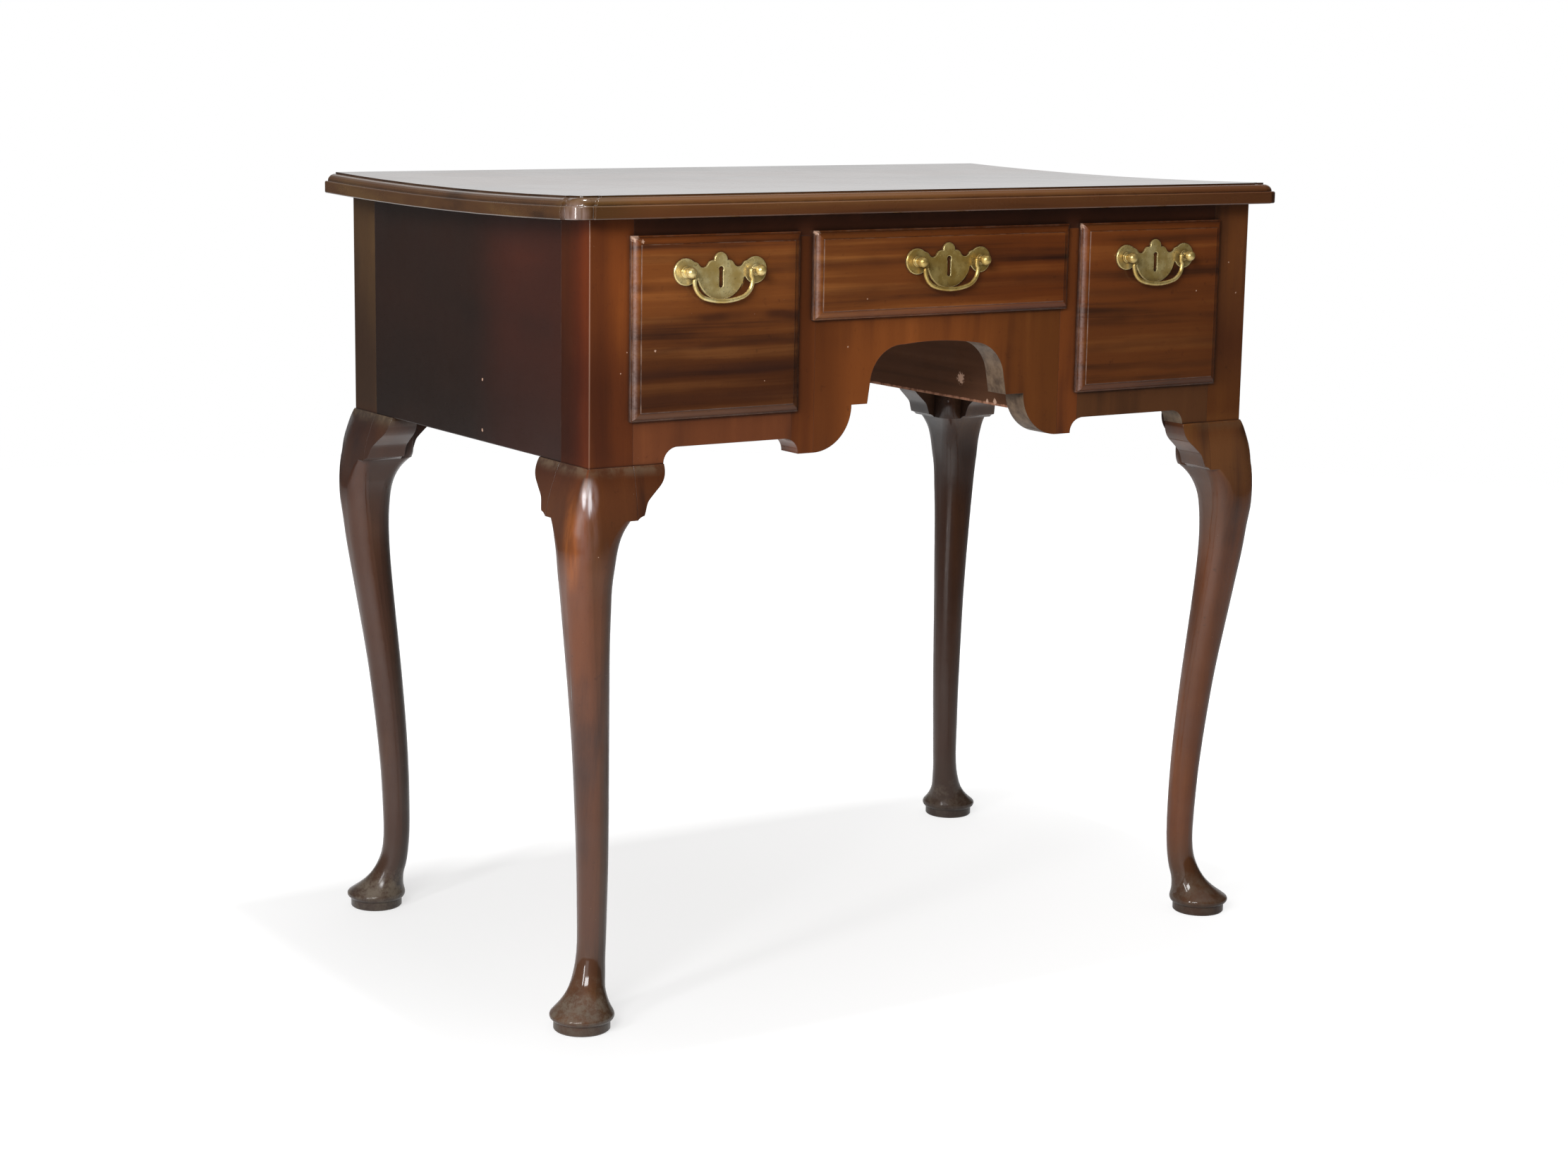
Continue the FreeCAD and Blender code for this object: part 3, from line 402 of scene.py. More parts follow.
def leaveSawn(wood):
    # edges cut across the board's face were never polished
    shape = sawnShape
    sideways = wood.span(wood.positive(wood.back), *shape["sideways"])
    dirt = wood.span(wood.noise(wood.spot, *shape["cloudNoise"]), *shape["dirt"])
    bare = wood.mix(dirt, wood.look["grimeAndShade"], wood.look["rawAndHighlight"])
    wood.lay(wood.times(sideways, wood.look["sawn"]), bare)
    wood.dull(sideways, shape["dull"])


lipShape = {
    "turned": (-0.2, -0.65), "below": 0.08, "speckNoise": (420.0, 3.0, 0.65),
    "specks": (0.3, 0.6, 0.5, 1.15), "dull": 0.6,
}


def sheenAndRubLip(wood):
    # the moulded lip is painted pale where it faces left or down: a painted sheen where it faces the lamps
    # and the floor, with rubbing
    shape = lipShape
    under = wood.span(wood.up, *shape["turned"])
    turned = wood.most(wood.span(wood.right, *shape["turned"]), wood.times(under, shape["below"]))
    wood.dull(under, shape["dull"])
    specks = wood.span(wood.noise(wood.spot, *shape["speckNoise"]), *shape["specks"])
    wood.lay(wood.times(turned, specks, wood.look["lip"]), wood.look["rubbedAndSheen"])


kneeShape = {  # the post ends on a ledge 0.4875 m up, and the knee swells below it
    "top": (0.4875, 0.484), "foot": (0.36, 0.43),
    "ridgeTop": (0.486, 0.476), "ridgeFoot": (0.4, 0.43), "ridge": (0.0, 0.004),
    "sideFace": 0.338, "endFace": 0.212, "middle": 0.0056,
    "cloudNoise": (55.0, 4.0, 0.65), "cloudShare": 0.4, "flank": (0.65, 0.2), "rear": (0.0, 0.1),
    "ledgeTop": (0.4875, 0.4866), "ledgeFoot": (0.476, 0.4862), "ledgeSpots": (0.4, 0.62, 0.1, 0.55),
    "ledgeLeft": (0.3, 0.1, 0.35, 1.0), "ledgeFace": (0.5, 0.1),
}


def kneeRadius(wood):
    # the ridge of the knee is broader than the arris of the post above it
    shape = kneeShape
    outward = wood.least(wood.minus(wood.positive(wood.x), shape["sideFace"]),
                         wood.minus(wood.positive(wood.minus(wood.y, shape["middle"])), shape["endFace"]))
    ridge = wood.times(wood.span(wood.z, *shape["ridgeTop"]), wood.span(wood.z, *shape["ridgeFoot"]),
                       wood.span(outward, *shape["ridge"]))
    return wood.blend(ridge, wood.look["edgeRadius"], wood.look["kneeRadius"])


def kneeZone(wood):
    # 1 on the knee, fading out down the shank
    return wood.times(wood.span(wood.z, *kneeShape["top"]), wood.span(wood.z, *kneeShape["foot"]))


def kneeGloss(wood):
    # the knees keep the glossiest polish, and the rear legs the dullest
    look = wood.look
    plain = wood.span(wood.y, *kneeShape["rear"], look["coatRoughness"], look["rearRoughness"])
    return wood.blend(kneeZone(wood), plain, look["kneeRoughness"])


def shadeKneeAndLedge(wood):
    # painted shade on the flanks of the knee, broken by a cloud, and on the ledge above it a pale line, a
    # painted highlight on the step with dust
    shape = kneeShape
    corner = wood.corner()
    cloud = wood.noise(wood.spot, *shape["cloudNoise"], turn=wood.seed)
    flankShade = wood.span(wood.plus(corner, wood.times(cloud, shape["cloudShare"])), *shape["flank"])
    wood.lay(wood.times(kneeZone(wood), flankShade), wood.look["kneeFlank"], "MULTIPLY")
    ledge = wood.times(wood.span(wood.z, *shape["ledgeTop"]), wood.span(wood.z, *shape["ledgeFoot"]),
                       wood.span(cloud, *shape["ledgeSpots"]), wood.span(wood.x, *shape["ledgeLeft"]),
                       wood.span(corner, *shape["ledgeFace"]))
    wood.lay(ledge, wood.look["rawAndHighlight"])


postShape = {
    "corner": (0.12, 0.4), "foot": (0.4865, 0.4885), "upwards": (0.52, 0.62, 0.65, 1.0),
    "flank": (0.9, 0.97), "flankFoot": (0.45, 0.5),
}


def arrisHighlightAndFlank(wood):
    # the corner of each post is painted pale along its length, a painted highlight on the arris with some
    # rubbing, and its side is redder and duller
    shape = postShape
    rubbedAndSheen = wood.times(wood.span(wood.corner(), *shape["corner"]), wood.span(wood.z, *shape["foot"]),
                        wood.span(wood.z, *shape["upwards"]))
    flank = wood.times(wood.span(wood.positive(wood.right), *shape["flank"]),
                       wood.span(wood.z, *shape["flankFoot"]))
    wood.lay(flank, wood.look["flank"], "MULTIPLY")
    wood.dull(flank, wood.look["flankDull"])
    wood.lay(wood.times(rubbedAndSheen, wood.look["arris"]), wood.look["wornAndHighlight"])


splitShape = {
    "fibres": (1.0, 1.0, 0.2), "noise": (160.0, 3.0, 0.6), "ragged": 0.0016, "depth": 0.001,
    "splinters": (0.3, 0.6, 0.25, 0.9),
}


def splitLowEdge(wood):
    # the lower arris of a board left as the saw split it
    shape = splitShape
    edge = wood.look["lowEdge"]
    split = wood.noise(wood.vector("MULTIPLY", wood.spot, shape["fibres"]), *shape["noise"])
    bare = wood.span(wood.minus(wood.z, wood.times(split, shape["ragged"])), edge, edge - shape["depth"])
    wood.lay(wood.times(bare, wood.span(split, *shape["splinters"])), wood.look["splinter"])


footShape = {
    "noise": (75.0, 6.0, 0.75), "ragged": 0.05, "low": (0.02, -0.006), "patches": (0.38, 0.62, 0.1),
    "toRight": (-0.2, 0.2, 1.0, 0.5), "dull": 0.6,
}


def scuffFoot(wood):
    # feet scuffed grey by brooms and damp floors
    shape = footShape
    scuff = wood.noise(wood.spot, *shape["noise"], turn=wood.seed)
    low = wood.span(wood.minus(wood.z, wood.times(scuff, shape["ragged"])), *shape["low"])
    scuffed = wood.times(low, wood.span(scuff, *shape["patches"], wood.look["footWear"]),
                         wood.span(wood.x, *shape["toRight"]))
    wood.lay(scuffed, wood.look["scuffed"])
    wood.dull(scuffed, shape["dull"])


def darkenSheltered(wood):
    # painted shade, with old polish and dust, darkens the wood around anything that stands proud
    mask = wood.sheltered(wood.look["shadeReach"], wood.look["shade"])
    wood.lay(wood.times(mask, wood.look["shadeAmount"]), wood.look["grimeAndShade"])


glintRubShape = {
    "across": (0.872, -0.489, 0.0), "front": (-0.1, -0.15), "core": 0.4,
    "fibres": (1.0, 1.0, 0.15), "noise": (260.0, 2.0, 0.5), "streaks": (0.3, 0.62, 0.3, 1.0),
}


def cornerGlintsAndRubs(wood):
    # painted glints and sheen on the left front knee and the top's corner lobe, where polish is also rubbed
    # by hands, in streaks:
    # place across, height, size, how flat, amount, tone
    shape = glintRubShape
    across = wood.vector("DOT_PRODUCT", wood.spot, shape["across"])
    front = wood.span(wood.y, *shape["front"])
    for centre, height, size, flat, amount, tone in wood.look["glintsAndRubs"]:
        rise = wood.times(wood.minus(wood.z, height), flat)
        away = wood.vector("LENGTH", wood.join(wood.minus(across, centre), rise, 0.0))
        streaks = wood.noise(wood.vector("MULTIPLY", wood.spot, shape["fibres"]), *shape["noise"])
        near = wood.span(away, size, size * shape["core"])
        mask = wood.times(near, wood.span(streaks, *shape["streaks"]))
        wood.lay(wood.times(mask, wood.times(front, amount)), tone)


def addFlecks(wood):
    # pale chips and flecks, each at its own place
    for centre, size in wood.look["flecks"]:
        mask = place(wood, fleckGroup, Place=wood.spot, Centre=centre, Size=size)["Mask"]
        wood.lay(mask, wood.look["wornAndHighlight"])


# wear, painted shade and painted highlights that only some boards have, in the order in which they are laid
# on
specialMarks = {
    "sawn": leaveSawn, "lip": sheenAndRubLip, "kneeRadius": shadeKneeAndLedge, "arris": arrisHighlightAndFlank, "lowEdge": splitLowEdge,
    "footWear": scuffFoot, "shadeAmount": darkenSheltered,
}


def makeWood(name, grain, seed, *looks):
    # grain is the axis that the fibres follow, seed tells one board's figure from another's, and each
    # look changes some of the settings above
    look = dict(woodSettings)
    for changes in looks:
        look.update(changes)
    wood = Wood(name, seed, look)
    x, y, z = wood.x, wood.y, wood.z
    along = {"x": (x, z, y), "y": (y, z, x), "z": (z, x, y)}[grain]
    figure = place(wood, figureGroup, Grain=wood.join(*along), Seed=seed, Band=look["band"],
                   Stretch=look["stretch"], Wave=look["wave"], Streak=look["streak"], Cloud=look["cloud"],
                   Contrast=look["contrast"], Light=look["light"], Middle=look["middle"], Dark=look["dark"])
    radius = kneeRadius(wood) if look["kneeRadius"] else look["edgeRadius"]
    edge = place(wood, edgeGroup, Place=wood.spot, Radius=radius, Amount=look["wear"], Seed=seed)
    film = place(wood, shadeGrimeGroup, Place=wood.spot, Seed=seed)
    wood.colour = figure["Color"]
    wood.coat = wood.blend(film["Haze"], look["coat"], look["coat"] * (1 - look["coatFade"]))
    layTints(wood)
    layBands(wood)
    addKnocks(wood)
    for setting, wear in specialMarks.items():
        if look[setting]:
            wear(wood)
    # shade painted where surfaces meet, with grime
    wood.lay(wood.times(film["ShadeAndGrime"], look["grimeAndShadeAmount"]), look["grimeAndShade"])
    wood.lay(wood.times(edge["Edge"], look["wear"]), look[look["edgeTone"]])
    if look["glintsAndRubs"]:
        cornerGlintsAndRubs(wood)
    addFlecks(wood)

    rough = wood.blend(film["Haze"], look["roughness"] - look["smoother"],
                       look["roughness"] + look["haze"] * look["hazeShare"])
    rough = wood.plus(rough, wood.times(figure["Pores"], look["poreRoughness"]))
    ripple = wood.times(wood.noise(wood.spot, *look["wobbleNoise"]), look["wobble"])
    height = wood.minus(ripple, wood.times(figure["Pores"], look["poreDepth"]))
    shader = wood.node("ShaderNodeBsdfPrincipled")
    wood.put(shader.inputs["Base Color"], wood.colour)
    wood.put(shader.inputs["Roughness"], rough)
    wood.put(shader.inputs["Specular IOR Level"], look["specular"])
    wood.put(shader.inputs["Normal"], wood.bump(height, look["bump"], look["bumpDepth"], edge["Soft"]))
    wood.put(shader.inputs["Coat Weight"], wood.coat)
    gloss = kneeGloss(wood) if look["kneeRadius"] else look["coatRoughness"]
    wood.put(shader.inputs["Coat Roughness"], gloss)
    # the polish is its own film: it rounds every arris but doesn't sink into the pores
    wood.put(shader.inputs["Coat Normal"],
             wood.bump(ripple, look["coatWobble"], look["coatDepth"], wood.rounded(radius)))
    wood.surface(shader)
    return wood.material


# Brass

brassSettings = {
    "bright": shade(255, 238, 176), "aged": shade(212, 182, 108), "stainAndShade": shade(104, 76, 36),
    "metal": 0.6, "roughness": 0.14, "mottleRoughness": 0.25, "edgeRadius": 0.0012, "patch": 160.0,
    "mottleNoise": (90.0, 4.0, 0.55), "mottle": (0.3, 0.8), "bump": 0.25, "bumpDepth": 0.0004,
    "dull": (0.68, 0.6, 0.42, 1.0), "dullFrom": (-0.18, -0.08), "dullTo": (0.12, 0.22, 1.0, 0.45),
    "spotNoise": (300.0, 3.0, 0.7), "spots": (0.58, 0.72), "spotAmount": 0.45,
    "grimeAndShadeReach": 0.006, "grimeAndShadeAmount": 0.95,
}


def makeBrass(name):
    look = brassSettings
    material = bpy.data.materials.new(name)
    tree = Tree(emptyTree(material))
    spot = tree.node("ShaderNodeTexCoord").outputs["Object"]
    edge = place(tree, edgeGroup, Place=spot, Radius=look["edgeRadius"], Amount=1.0, Patch=look["patch"])
    film = place(tree, shadeGrimeGroup, Place=spot, Reach=look["grimeAndShadeReach"])
    mottle = tree.noise(spot, *look["mottleNoise"])
    colour = tree.mix(tree.span(mottle, *look["mottle"]), look["aged"], look["bright"])
    # the centre handle is the dullest of the three, and the left one the brightest
    across = tree.split(spot)[0]
    dull = tree.times(tree.span(across, *look["dullFrom"]), tree.span(across, *look["dullTo"]))
    colour = tree.mix(dull, colour, look["dull"], "MULTIPLY")
    spots = tree.span(tree.noise(spot, *look["spotNoise"]), *look["spots"])
    colour = tree.mix(tree.times(spots, look["spotAmount"]), colour, look["stainAndShade"])
    # painted shade where other parts close in on the brass, with grime
    colour = tree.mix(tree.times(film["ShadeAndGrime"], look["grimeAndShadeAmount"]), colour, look["stainAndShade"])
    colour = tree.mix(edge["Edge"], colour, look["bright"])
    shader = tree.node("ShaderNodeBsdfPrincipled")
    tree.put(shader.inputs["Base Color"], colour)
    tree.put(shader.inputs["Metallic"], look["metal"])
    rough = tree.plus(tree.times(mottle, look["mottleRoughness"]), look["roughness"])
    tree.put(shader.inputs["Roughness"], rough)
    tree.put(shader.inputs["Normal"], tree.bump(mottle, look["bump"], look["bumpDepth"], edge["Soft"]))
    tree.surface(shader)
    return material


# What each board changes. Tints are (tone, ramps along an axis or by how far the wood faces right).
# Bands are (height, half width, amount), and flecks are (place, size).

innerLook = {  # woods of the inside, never polished
    "band": 0.01, "wave": 0.002, "contrast": 0.7, "wear": 0.25, "haze": 0.6, "roughness": 0.68,
    "coat": 0.0, "coatRoughness": 0.4, "shadeAmount": 0.0,
}
backLook = {"light": shade(120, 88, 58), "middle": shade(96, 68, 44), "dark": shade(64, 44, 28)}
oakLook = {"light": shade(176, 142, 96), "middle": shade(150, 116, 74), "dark": shade(108, 80, 48)}
boardLook = {  # runners, kickers and the kneehole's partitions
    "light": shade(88, 58, 40), "middle": shade(82, 53, 36), "dark": shade(68, 44, 30),
    "lowEdge": 0.5108,
    "flecks": (
        ((0.0995, -0.1194, 0.5288), 0.005),
        ((0.0995, -0.172, 0.5125), 0.0025),
        ((0.0995, -0.161, 0.5115), 0.002),
    ),
}

topLook = {
    "light": shade(112, 74, 42), "middle": shade(96, 58, 33), "dark": shade(62, 36, 22),
    "band": 0.02, "contrast": 0.7, "roughness": 0.3, "haze": 0.05,
    "coat": 1.0, "coatFade": 0.04, "coatRoughness": 0.03, "wobble": 0.0, "coatWobble": 0.0,
    "wear": 0.45, "edgeTone": "grimeAndShade", "edgeRadius": 0.0007, "shadeAmount": 0.0,
    "stains": 0.1, "nicks": 0.03,
    # a painted pale sheen on the top's left front lobe, with rubbed polish
    "glintsAndRubs": ((-0.2114, 0.6955, 0.014, 1.2, 0.45, shade(170, 148, 142)),),
    "tints": (
        ((0.72, 0.86, 0.85), ("x", -0.3, -0.36)),
        ((0.6, 0.66, 0.75), ("z", 0.7085, 0.7092)),
    ),
}

sideLook = {
    "light": shade(82, 37, 22), "middle": shade(59, 28, 19), "dark": shade(35, 22, 18),
    "band": 0.09, "stretch": 6.0, "contrast": 0.3, "streak": 0.1, "cloud": 1.0,
    "coat": 1.0, "coatRoughness": 0.2, "wear": 0.2, "stains": 0.15,
    "tints": (
        ((0.49, 0.74, 0.8), ("y", -0.09, 0.0), ("right", 0.5, -0.5)),
        ((0.66, 0.78, 0.85), ("z", 0.6, 0.5), ("right", 0.5, -0.5)),
        ((1.7, 1.6, 1.2), ("right", 0.0, 0.9)),
    ),
    "flecks": (
        ((-0.353, -0.0316, 0.5414), 0.0013),
        ((-0.353, -0.0312, 0.4968), 0.0015),
    ),
}

frontLook = {  # the frame round the drawers
    "band": 0.022, "stretch": 5.0, "streak": 0.18, "cloud": 1.1, "contrast": 0.5,
    "edgeTone": "grimeAndShade", "wear": 0.55, "edgeRadius": 0.0006, "shadeReach": 0.045, "shadeAmount": 0.6,
}
postLook = {  # dividers between the drawers
    "light": shade(150, 82, 36), "middle": shade(122, 64, 27),
    # the painted shadow of the left drawer's lip on the divider beside it
    "tints": (((0.62, 0.6, 0.6), ("x", -0.125, -0.14)),),
}
apronLook = {
    "light": shade(150, 84, 37), "middle": shade(128, 69, 29), "dark": shade(88, 46, 22), "sawn": 0.9,
    "tints": (
        # painted shade, darker towards the right
        ((0.68, 0.72, 0.7), ("x", 0.0, 0.12)),
        # the painted shadow of the left drawer at the apron's left end
        ((0.6, 0.58, 0.6), ("x", -0.088, -0.125)),
    ),
    "flecks": (((-0.0985, -0.2213, 0.576), 0.0007),),
}
railLook = {
    "light": shade(130, 72, 40), "middle": shade(110, 60, 33), "dark": shade(80, 44, 26), "sawn": 0.9,
    "tints": (((0.74, 0.94, 0.94), ("x", 0.0, 0.1)),),
}
topRailLook = {"light": shade(110, 60, 34), "middle": shade(84, 44, 24), "dark": shade(56, 30, 18)}

rightLegs = ("x", 0.2, 0.3)
legLook = {
    "light": shade(136, 74, 32), "middle": shade(108, 56, 25), "dark": shade(64, 34, 20),
    "band": 0.03, "stretch": 5.0, "cloud": 1.0, "streak": 0.45, "contrast": 0.5,
    "coat": 1.0, "coatRoughness": 0.09, "kneeRadius": 0.022,
    "wear": 0.5, "edgeTone": "grimeAndShade", "edgeRadius": 0.0006, "arris": 0.22, "footWear": 0.85,
    "grimeAndShadeAmount": 0.35, "shadeReach": 0.045, "shadeAmount": 0.5,
    "tints": (
        # all four, from the post down to the foot
        ((0.5, 0.48, 0.6), ("z", 0.655, 0.55)),
        ((1.35, 1.55, 1.75), ("z", 0.49, 0.46)),
        ((0.78, 0.86, 0.92), ("z", 0.44, 0.1)),
        ((0.95, 1.15, 1.35), ("z", 0.09, 0.05)),
        # the rear legs, and the left side of their posts
        ((0.64, 0.75, 1.0), ("y", 0.0, 0.1)),
        ((2.2, 4.4, 6.0), ("y", 0.0, 0.1), ("z", 0.47, 0.5), ("right", -0.6, -0.9)),
        # the right legs and the right flanks of the left shanks, darker as painted shade, and the very
        # front of the front legs
        ((0.92, 0.95, 0.92), rightLegs),
        ((0.58, 0.72, 0.8), ("right", -0.4, 0.5), ("x", 0.0, -0.2), ("z", 0.46, 0.42)),
        ((1.4, 1.35, 1.15), ("y", -0.2, -0.215)),
        # painted shade on the posts behind their front faces, and on the left sides of the left posts
        ((0.6, 0.7, 0.75), ("y", -0.208, -0.18), ("z", 0.47, 0.5)),
        ((0.66, 0.66, 0.8), ("x", -0.328, -0.343), ("z", 0.47, 0.5)),
        # the right legs again: knee, shank and post
        ((1.85, 2.2, 2.3), rightLegs, ("z", 0.4, 0.44), ("z", 0.5, 0.475), ("right", -0.5, 0.0)),
        ((0.78, 0.86, 0.92), rightLegs, ("z", 0.34, 0.4), ("z", 0.475, 0.43), ("right", 0.1, -0.6)),
        ((1.55, 1.32, 1.0), rightLegs, ("z", 0.3, 0.1), ("z", 0.03, 0.07), ("y", 0.1, 0.0)),
        ((0.62, 0.72, 0.78), rightLegs, ("z", 0.42, 0.47), ("right", -0.5, -0.85)),
        ((1.25, 1.5, 1.35), rightLegs, ("z", 0.57, 0.51), ("z", 0.475, 0.495)),
        ((0.97, 1.2, 1.6), rightLegs, ("z", 0.5, 0.6)),
    ),
    # on the left front knee: a pale patch and two white streaks, painted glints, then a painted sheen below
    # them and an orange streak
    "glintsAndRubs": (
        (-0.1985, 0.463, 0.0085, 0.42, 0.26, shade(200, 186, 188)),
        (-0.2035, 0.4635, 0.0022, 0.2, 0.7, shade(246, 238, 240)),
        (-0.1985, 0.4595, 0.0022, 0.15, 0.65, shade(246, 238, 240)),
        (-0.2005, 0.436, 0.013, 0.42, 0.14, shade(150, 128, 130)),
        (-0.2135, 0.424, 0.0085, 0.16, 0.26, shade(184, 104, 44)),
    ),
    "flecks": (
        ((0.3308, -0.2213, 0.636), 0.0008), ((0.3412, -0.2213, 0.6074), 0.0008),
        ((-0.3235, -0.2213, 0.564), 0.0006), ((-0.3176, -0.2213, 0.5811), 0.0005),
        ((-0.3196, -0.232, 0.4589), 0.0008), ((-0.3501, -0.232, 0.4154), 0.0008),
        ((0.3343, -0.232, 0.4443), 0.0008), ((-0.37, 0.1243, 0.4533), 0.0012),
        ((0.3371, 0.215, 0.2168), 0.0022), ((0.3373, 0.212, 0.1448), 0.001),
    ),
}

drawerLook = {  # the three drawer fronts, alike in figure and unlike in tone
    "light": shade(168, 98, 44), "middle": shade(126, 66, 26), "dark": shade(60, 31, 18),
    "band": 0.012, "stretch": 2.6, "wave": 0.0012, "streak": 0.5, "cloud": 0.6, "contrast": 0.65,
    "lip": 0.26, "wear": 0.3,
}
leftDrawerLook = {
    "bands": ((0.606, 0.0065, 0.8), (0.5835, 0.004, 0.5), (0.5635, 0.008, 0.65),
              (0.541, 0.007, 0.4), (0.633, 0.005, 0.35), (0.656, 0.006, 0.3)),
    "tints": (
        ((0.98, 1.12, 1.3), ("z", 0.675, 0.66)),
        ((0.42, 0.41, 0.46), ("z", 0.635, 0.57)),
        ((0.74, 0.7, 0.68), ("z", 0.58, 0.545)),
        # painted shade, darker at the right end
        ((0.75, 0.75, 0.75), ("x", -0.17, -0.15)),
    ),
    "flecks": (
        ((-0.2955, -0.2293, 0.582), 0.0009), ((-0.1883, -0.2293, 0.5522), 0.0005),
        ((-0.3135, -0.2255, 0.676), 0.004), ((-0.3075, -0.2293, 0.672), 0.002),
    ),
}
centreDrawerLook = {
    "bands": ((0.65, 0.006, 0.4), (0.626, 0.008, 0.4)),
    "tints": (
        # painted shade, darker towards the right
        ((0.68, 0.64, 0.64), ("x", -0.05, 0.08)),
        ((0.8, 0.9, 1.02), ("x", 0.13, -0.13)),
    ),
    "flecks": (
        ((-0.0845, -0.2293, 0.6173), 0.0007), ((-0.1354, -0.2255, 0.6763), 0.0035),
        ((-0.1287, -0.2293, 0.6736), 0.0012),
    ),
}
rightDrawerLook = {
    "light": shade(140, 79, 35), "middle": shade(119, 62, 25), "dark": shade(70, 37, 18),
    "bands": ((0.615, 0.006, 0.4), (0.589, 0.005, 0.5), (0.565, 0.006, 0.4), (0.545, 0.005, 0.5)),
    "tints": (
        ((0.74, 0.8, 0.86), ("z", 0.66, 0.56)),
        # painted shade, darker at the right end
        ((0.86, 0.84, 0.84), ("x", 0.27, 0.32)),
    ),
    "flecks": (((0.2854, -0.2293, 0.6118), 0.0007), ((0.1496, -0.2255, 0.674), 0.0035)),
}

finishes = {
    "topFinish": makeWood("topFinish", "x", 1.0, topLook),
    "sideFinish": makeWood("sideFinish", "y", 2.0, sideLook),
    "postFinish": makeWood("postFinish", "z", 3.0, frontLook, postLook),
    "legFinish": makeWood("legFinish", "z", 5.0, legLook),
    "leftDrawerFinish": makeWood("leftDrawerFinish", "x", 6.0, drawerLook, leftDrawerLook),
    "centreDrawerFinish": makeWood("centreDrawerFinish", "x", 16.0, drawerLook, centreDrawerLook),
    "rightDrawerFinish": makeWood("rightDrawerFinish", "x", 26.0, drawerLook, rightDrawerLook),
    "apronFinish": makeWood("apronFinish", "z", 7.0, frontLook, apronLook),
    "railFinish": makeWood("railFinish", "z", 8.0, frontLook, railLook),
    "topRailFinish": makeWood("topRailFinish", "x", 9.0, frontLook, topRailLook),
    "backFinish": makeWood("backFinish", "x", 4.0, innerLook, backLook),
    "boardFinish": makeWood("boardFinish", "y", 4.0, innerLook, boardLook),
    "oakFinish": makeWood("oakFinish", "y", 4.0, innerLook, oakLook),
    "brassFinish": makeBrass("brassFinish"),
}

# the first of these that a node's name starts with gives its finish
finishStarts = {
    "top_rail": "topRailFinish", "top": "topFinish", "side_panel": "sideFinish", "back_board": "backFinish",
    "leg_": "legFinish", "knee_": "legFinish", "divider": "postFinish", "apron": "apronFinish",
    "lower_rail": "railFinish", "plate": "brassFinish", "handle": "brassFinish", "bail": "brassFinish",
    "drawer_left_front": "leftDrawerFinish", "drawer_centre_front": "centreDrawerFinish",
    "drawer_right_front": "rightDrawerFinish", "drawer": "oakFinish", "": "boardFinish",
}
for name, node in nodes.items():
    finish = finishes[next(finishStarts[start] for start in finishStarts if name.startswith(start))]
    if node.data.materials:
        for index in range(len(node.data.materials)):
            node.data.materials[index] = finish
    else:
        node.data.materials.append(finish)
print("finishes placed")


# Studio: floor, backdrop, lamps and camera

floorSettings = {
    "radius": 3.2, "rimStep": 5, "colour": shade(178, 178, 178), "frontRight": (0.85, -0.53, 0.0),
    "glow": (0.35, 0.95, 0.675, 1.0), "glowRight": (-0.5, 0.6, -0.06, 0.11),
    "shineRight": (-0.2, 0.9, 0.5, 0.1), "shineFar": (3.1, 1.2),
}


def makeFloor(look):
    # pale floor that glows softly, so that it reads as white beyond the legs' shadows
    mesh = bpy.data.meshes.new("floor")
    angles = [math.radians(angle) for angle in range(0, 360, look["rimStep"])]
    rim = [(look["radius"] * math.cos(angle), look["radius"] * math.sin(angle), 0) for angle in angles]
    mesh.from_pydata(rim, [], [list(range(len(rim)))])
    material = bpy.data.materials.new("paleFloor")
    tree = Tree(emptyTree(material))
    spot = tree.node("ShaderNodeTexCoord").outputs["Object"]
    away = tree.vector("LENGTH", spot)
    toRight = tree.vector("DOT_PRODUCT", spot, look["frontRight"])
    # to the camera the floor is painted lighter towards the right, where the key lamp's shadow falls, and
    # painted darker towards the left
    seen = tree.plus(tree.span(away, *look["glow"]), tree.span(toRight, *look["glowRight"]))
    # to everything but the camera the floor glows as painted light, a lit floor for the polish to mirror
    # and to light the legs from below; it fades out with distance and towards the front right
    shine = tree.times(tree.span(toRight, *look["shineRight"]), tree.span(away, *look["shineFar"]))
    matt = tree.node("ShaderNodeBsdfDiffuse")
    matt.inputs["Color"].default_value = look["colour"]
    glow = tree.node("ShaderNodeEmission")
    toCamera = tree.node("ShaderNodeLightPath").outputs["Is Camera Ray"]
    tree.put(glow.inputs["Strength"], tree.blend(toCamera, shine, seen))
    both = tree.node("ShaderNodeAddShader")
    tree.put(both.inputs[0], matt.outputs[0])
    tree.put(both.inputs[1], glow.outputs[0])
    tree.surface(both)
    mesh.materials.append(material)
    return bpy.data.objects.new("floor", mesh)


floor = makeFloor(floorSettings)
scene.collection.objects.link(floor)

skySettings = {
    "toBack": (0.55, 0.835, 0.0), "toLeft": (-0.6, 0.8, 0.0),
    "turn": (-0.2, 0.8), "front": 0.02, "side": 0.12,
    "behind": 0.665, "wall": (0.7, 0.93), "wallFoot": (-0.05, -0.01),
    "below": 0.03, "horizon": (-0.12, -0.02), "above": 0.6, "ceiling": (0.7, 0.9),
}


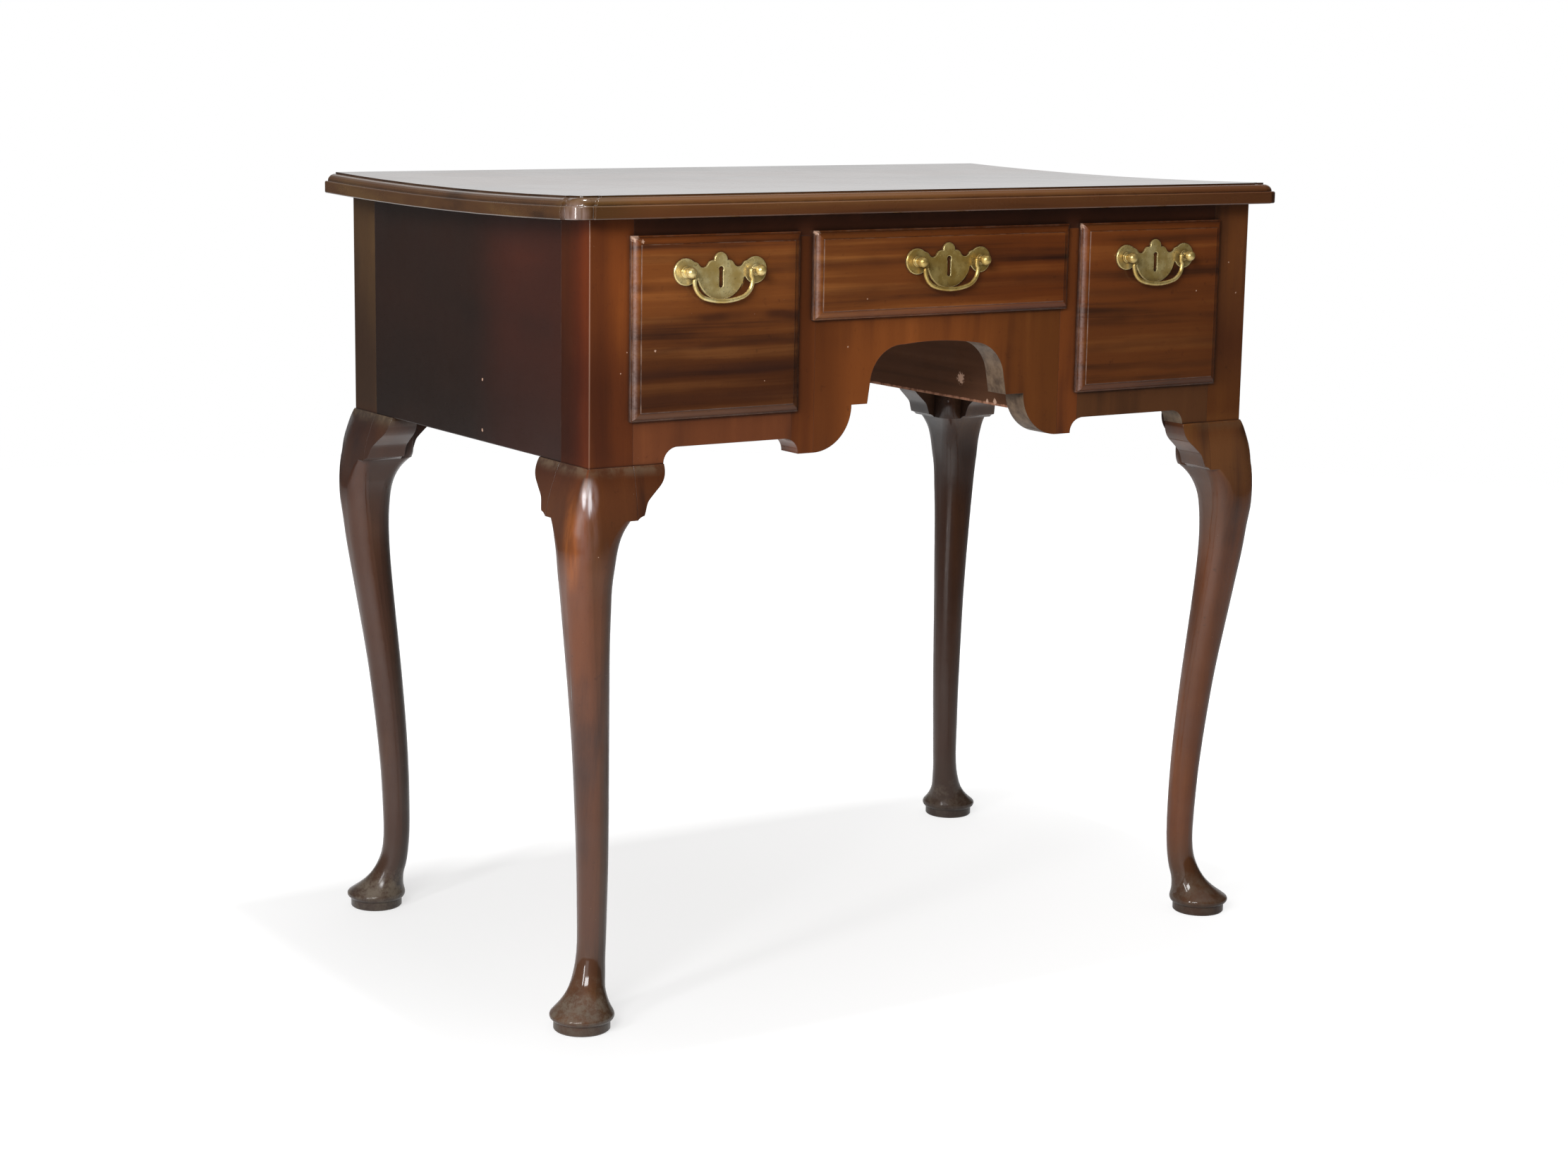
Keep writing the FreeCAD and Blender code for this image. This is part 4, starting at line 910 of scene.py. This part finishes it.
def makeSky(look):
    # white to the camera; what the polish mirrors is a bright wall behind and a ceiling, dark elsewhere
    world = bpy.data.worlds.new("studio")
    tree = Tree(emptyTree(world))
    direction = tree.node("ShaderNodeTexCoord").outputs["Generated"]
    height = tree.split(direction)[2]
    toBack = tree.vector("DOT_PRODUCT", direction, look["toBack"])
    toLeft = tree.vector("DOT_PRODUCT", direction, look["toLeft"])
    sky = tree.span(toLeft, *look["turn"], look["front"], look["side"])
    wall = tree.times(tree.span(toBack, *look["wall"]), tree.span(height, *look["wallFoot"]))
    sky = tree.blend(wall, sky, look["behind"])
    sky = tree.blend(tree.span(height, *look["horizon"]), look["below"], sky)
    sky = tree.blend(tree.span(height, *look["ceiling"]), sky, look["above"])
    toCamera = tree.node("ShaderNodeLightPath").outputs["Is Camera Ray"]
    air = tree.node("ShaderNodeBackground")
    air.inputs["Color"].default_value = (1, 1, 1, 1)
    tree.put(air.inputs["Strength"], tree.blend(toCamera, sky, 1.0))
    tree.surface(air, "ShaderNodeOutputWorld")
    return world


scene.world = makeSky(skySettings)

# place and aim in metres, size across and up, power in watts
lamps = {
    "overhead": {"place": (0, 0, 3.0), "aim": (0, 0, 0), "size": (0.22, 0.22), "power": 44},
    "key": {"place": (-1.82, -1.79, 1.58), "aim": (0, -0.2, 0.55), "size": (1.0, 0.6), "power": 40},
    "leftBox": {"place": (-2.15, -1.6, 0.76), "aim": (0, -0.2, 0.5), "size": (0.9, 1.2), "power": 5},
    "leftStrip": {"place": (-2.5, -0.97, 1.19), "aim": (-0.33, -0.2, 0.8), "size": (0.26, 1.35),
                  "power": 22},
}
for name, lamp in lamps.items():
    data = bpy.data.lights.new(name, "AREA")
    data.shape = "RECTANGLE"
    data.size, data.size_y = lamp["size"]
    data.energy = lamp["power"]
    made = bpy.data.objects.new(name, data)
    made.location = lamp["place"]
    aim = Vector(lamp["aim"]) - made.location
    made.rotation_euler = aim.to_track_quat("-Z", "Y").to_euler()
    scene.collection.objects.link(made)

# place in metres, angles in degrees, lens and sensor in millimetres
view = {
    "place": (-1.47597, -2.2212, 0.82351), "turn": 31.7212, "tip": 10.6204, "roll": 0.6245,
    "lens": 64.93, "sensor": 36, "shift": 0.0502,
}
turn, tip, roll = (math.radians(view[key]) for key in ("turn", "tip", "roll"))
ahead = Vector((math.sin(turn) * math.cos(tip), math.cos(turn) * math.cos(tip), -math.sin(tip)))
levelRight = Vector((math.cos(turn), -math.sin(turn), 0))
levelUp = levelRight.cross(ahead)
right = levelRight * math.cos(roll) + levelUp * math.sin(roll)
up = right.cross(ahead)
cameraData = bpy.data.cameras.new("camera")
cameraData.sensor_width = view["sensor"]
cameraData.lens = view["lens"]
cameraData.shift_x = view["shift"]
camera = bpy.data.objects.new("camera", cameraData)
camera.matrix_world = Matrix((
    (right.x, up.x, -ahead.x, view["place"][0]),
    (right.y, up.y, -ahead.y, view["place"][1]),
    (right.z, up.z, -ahead.z, view["place"][2]),
    (0, 0, 0, 1),
))
scene.collection.objects.link(camera)
scene.camera = camera
print("studio set")
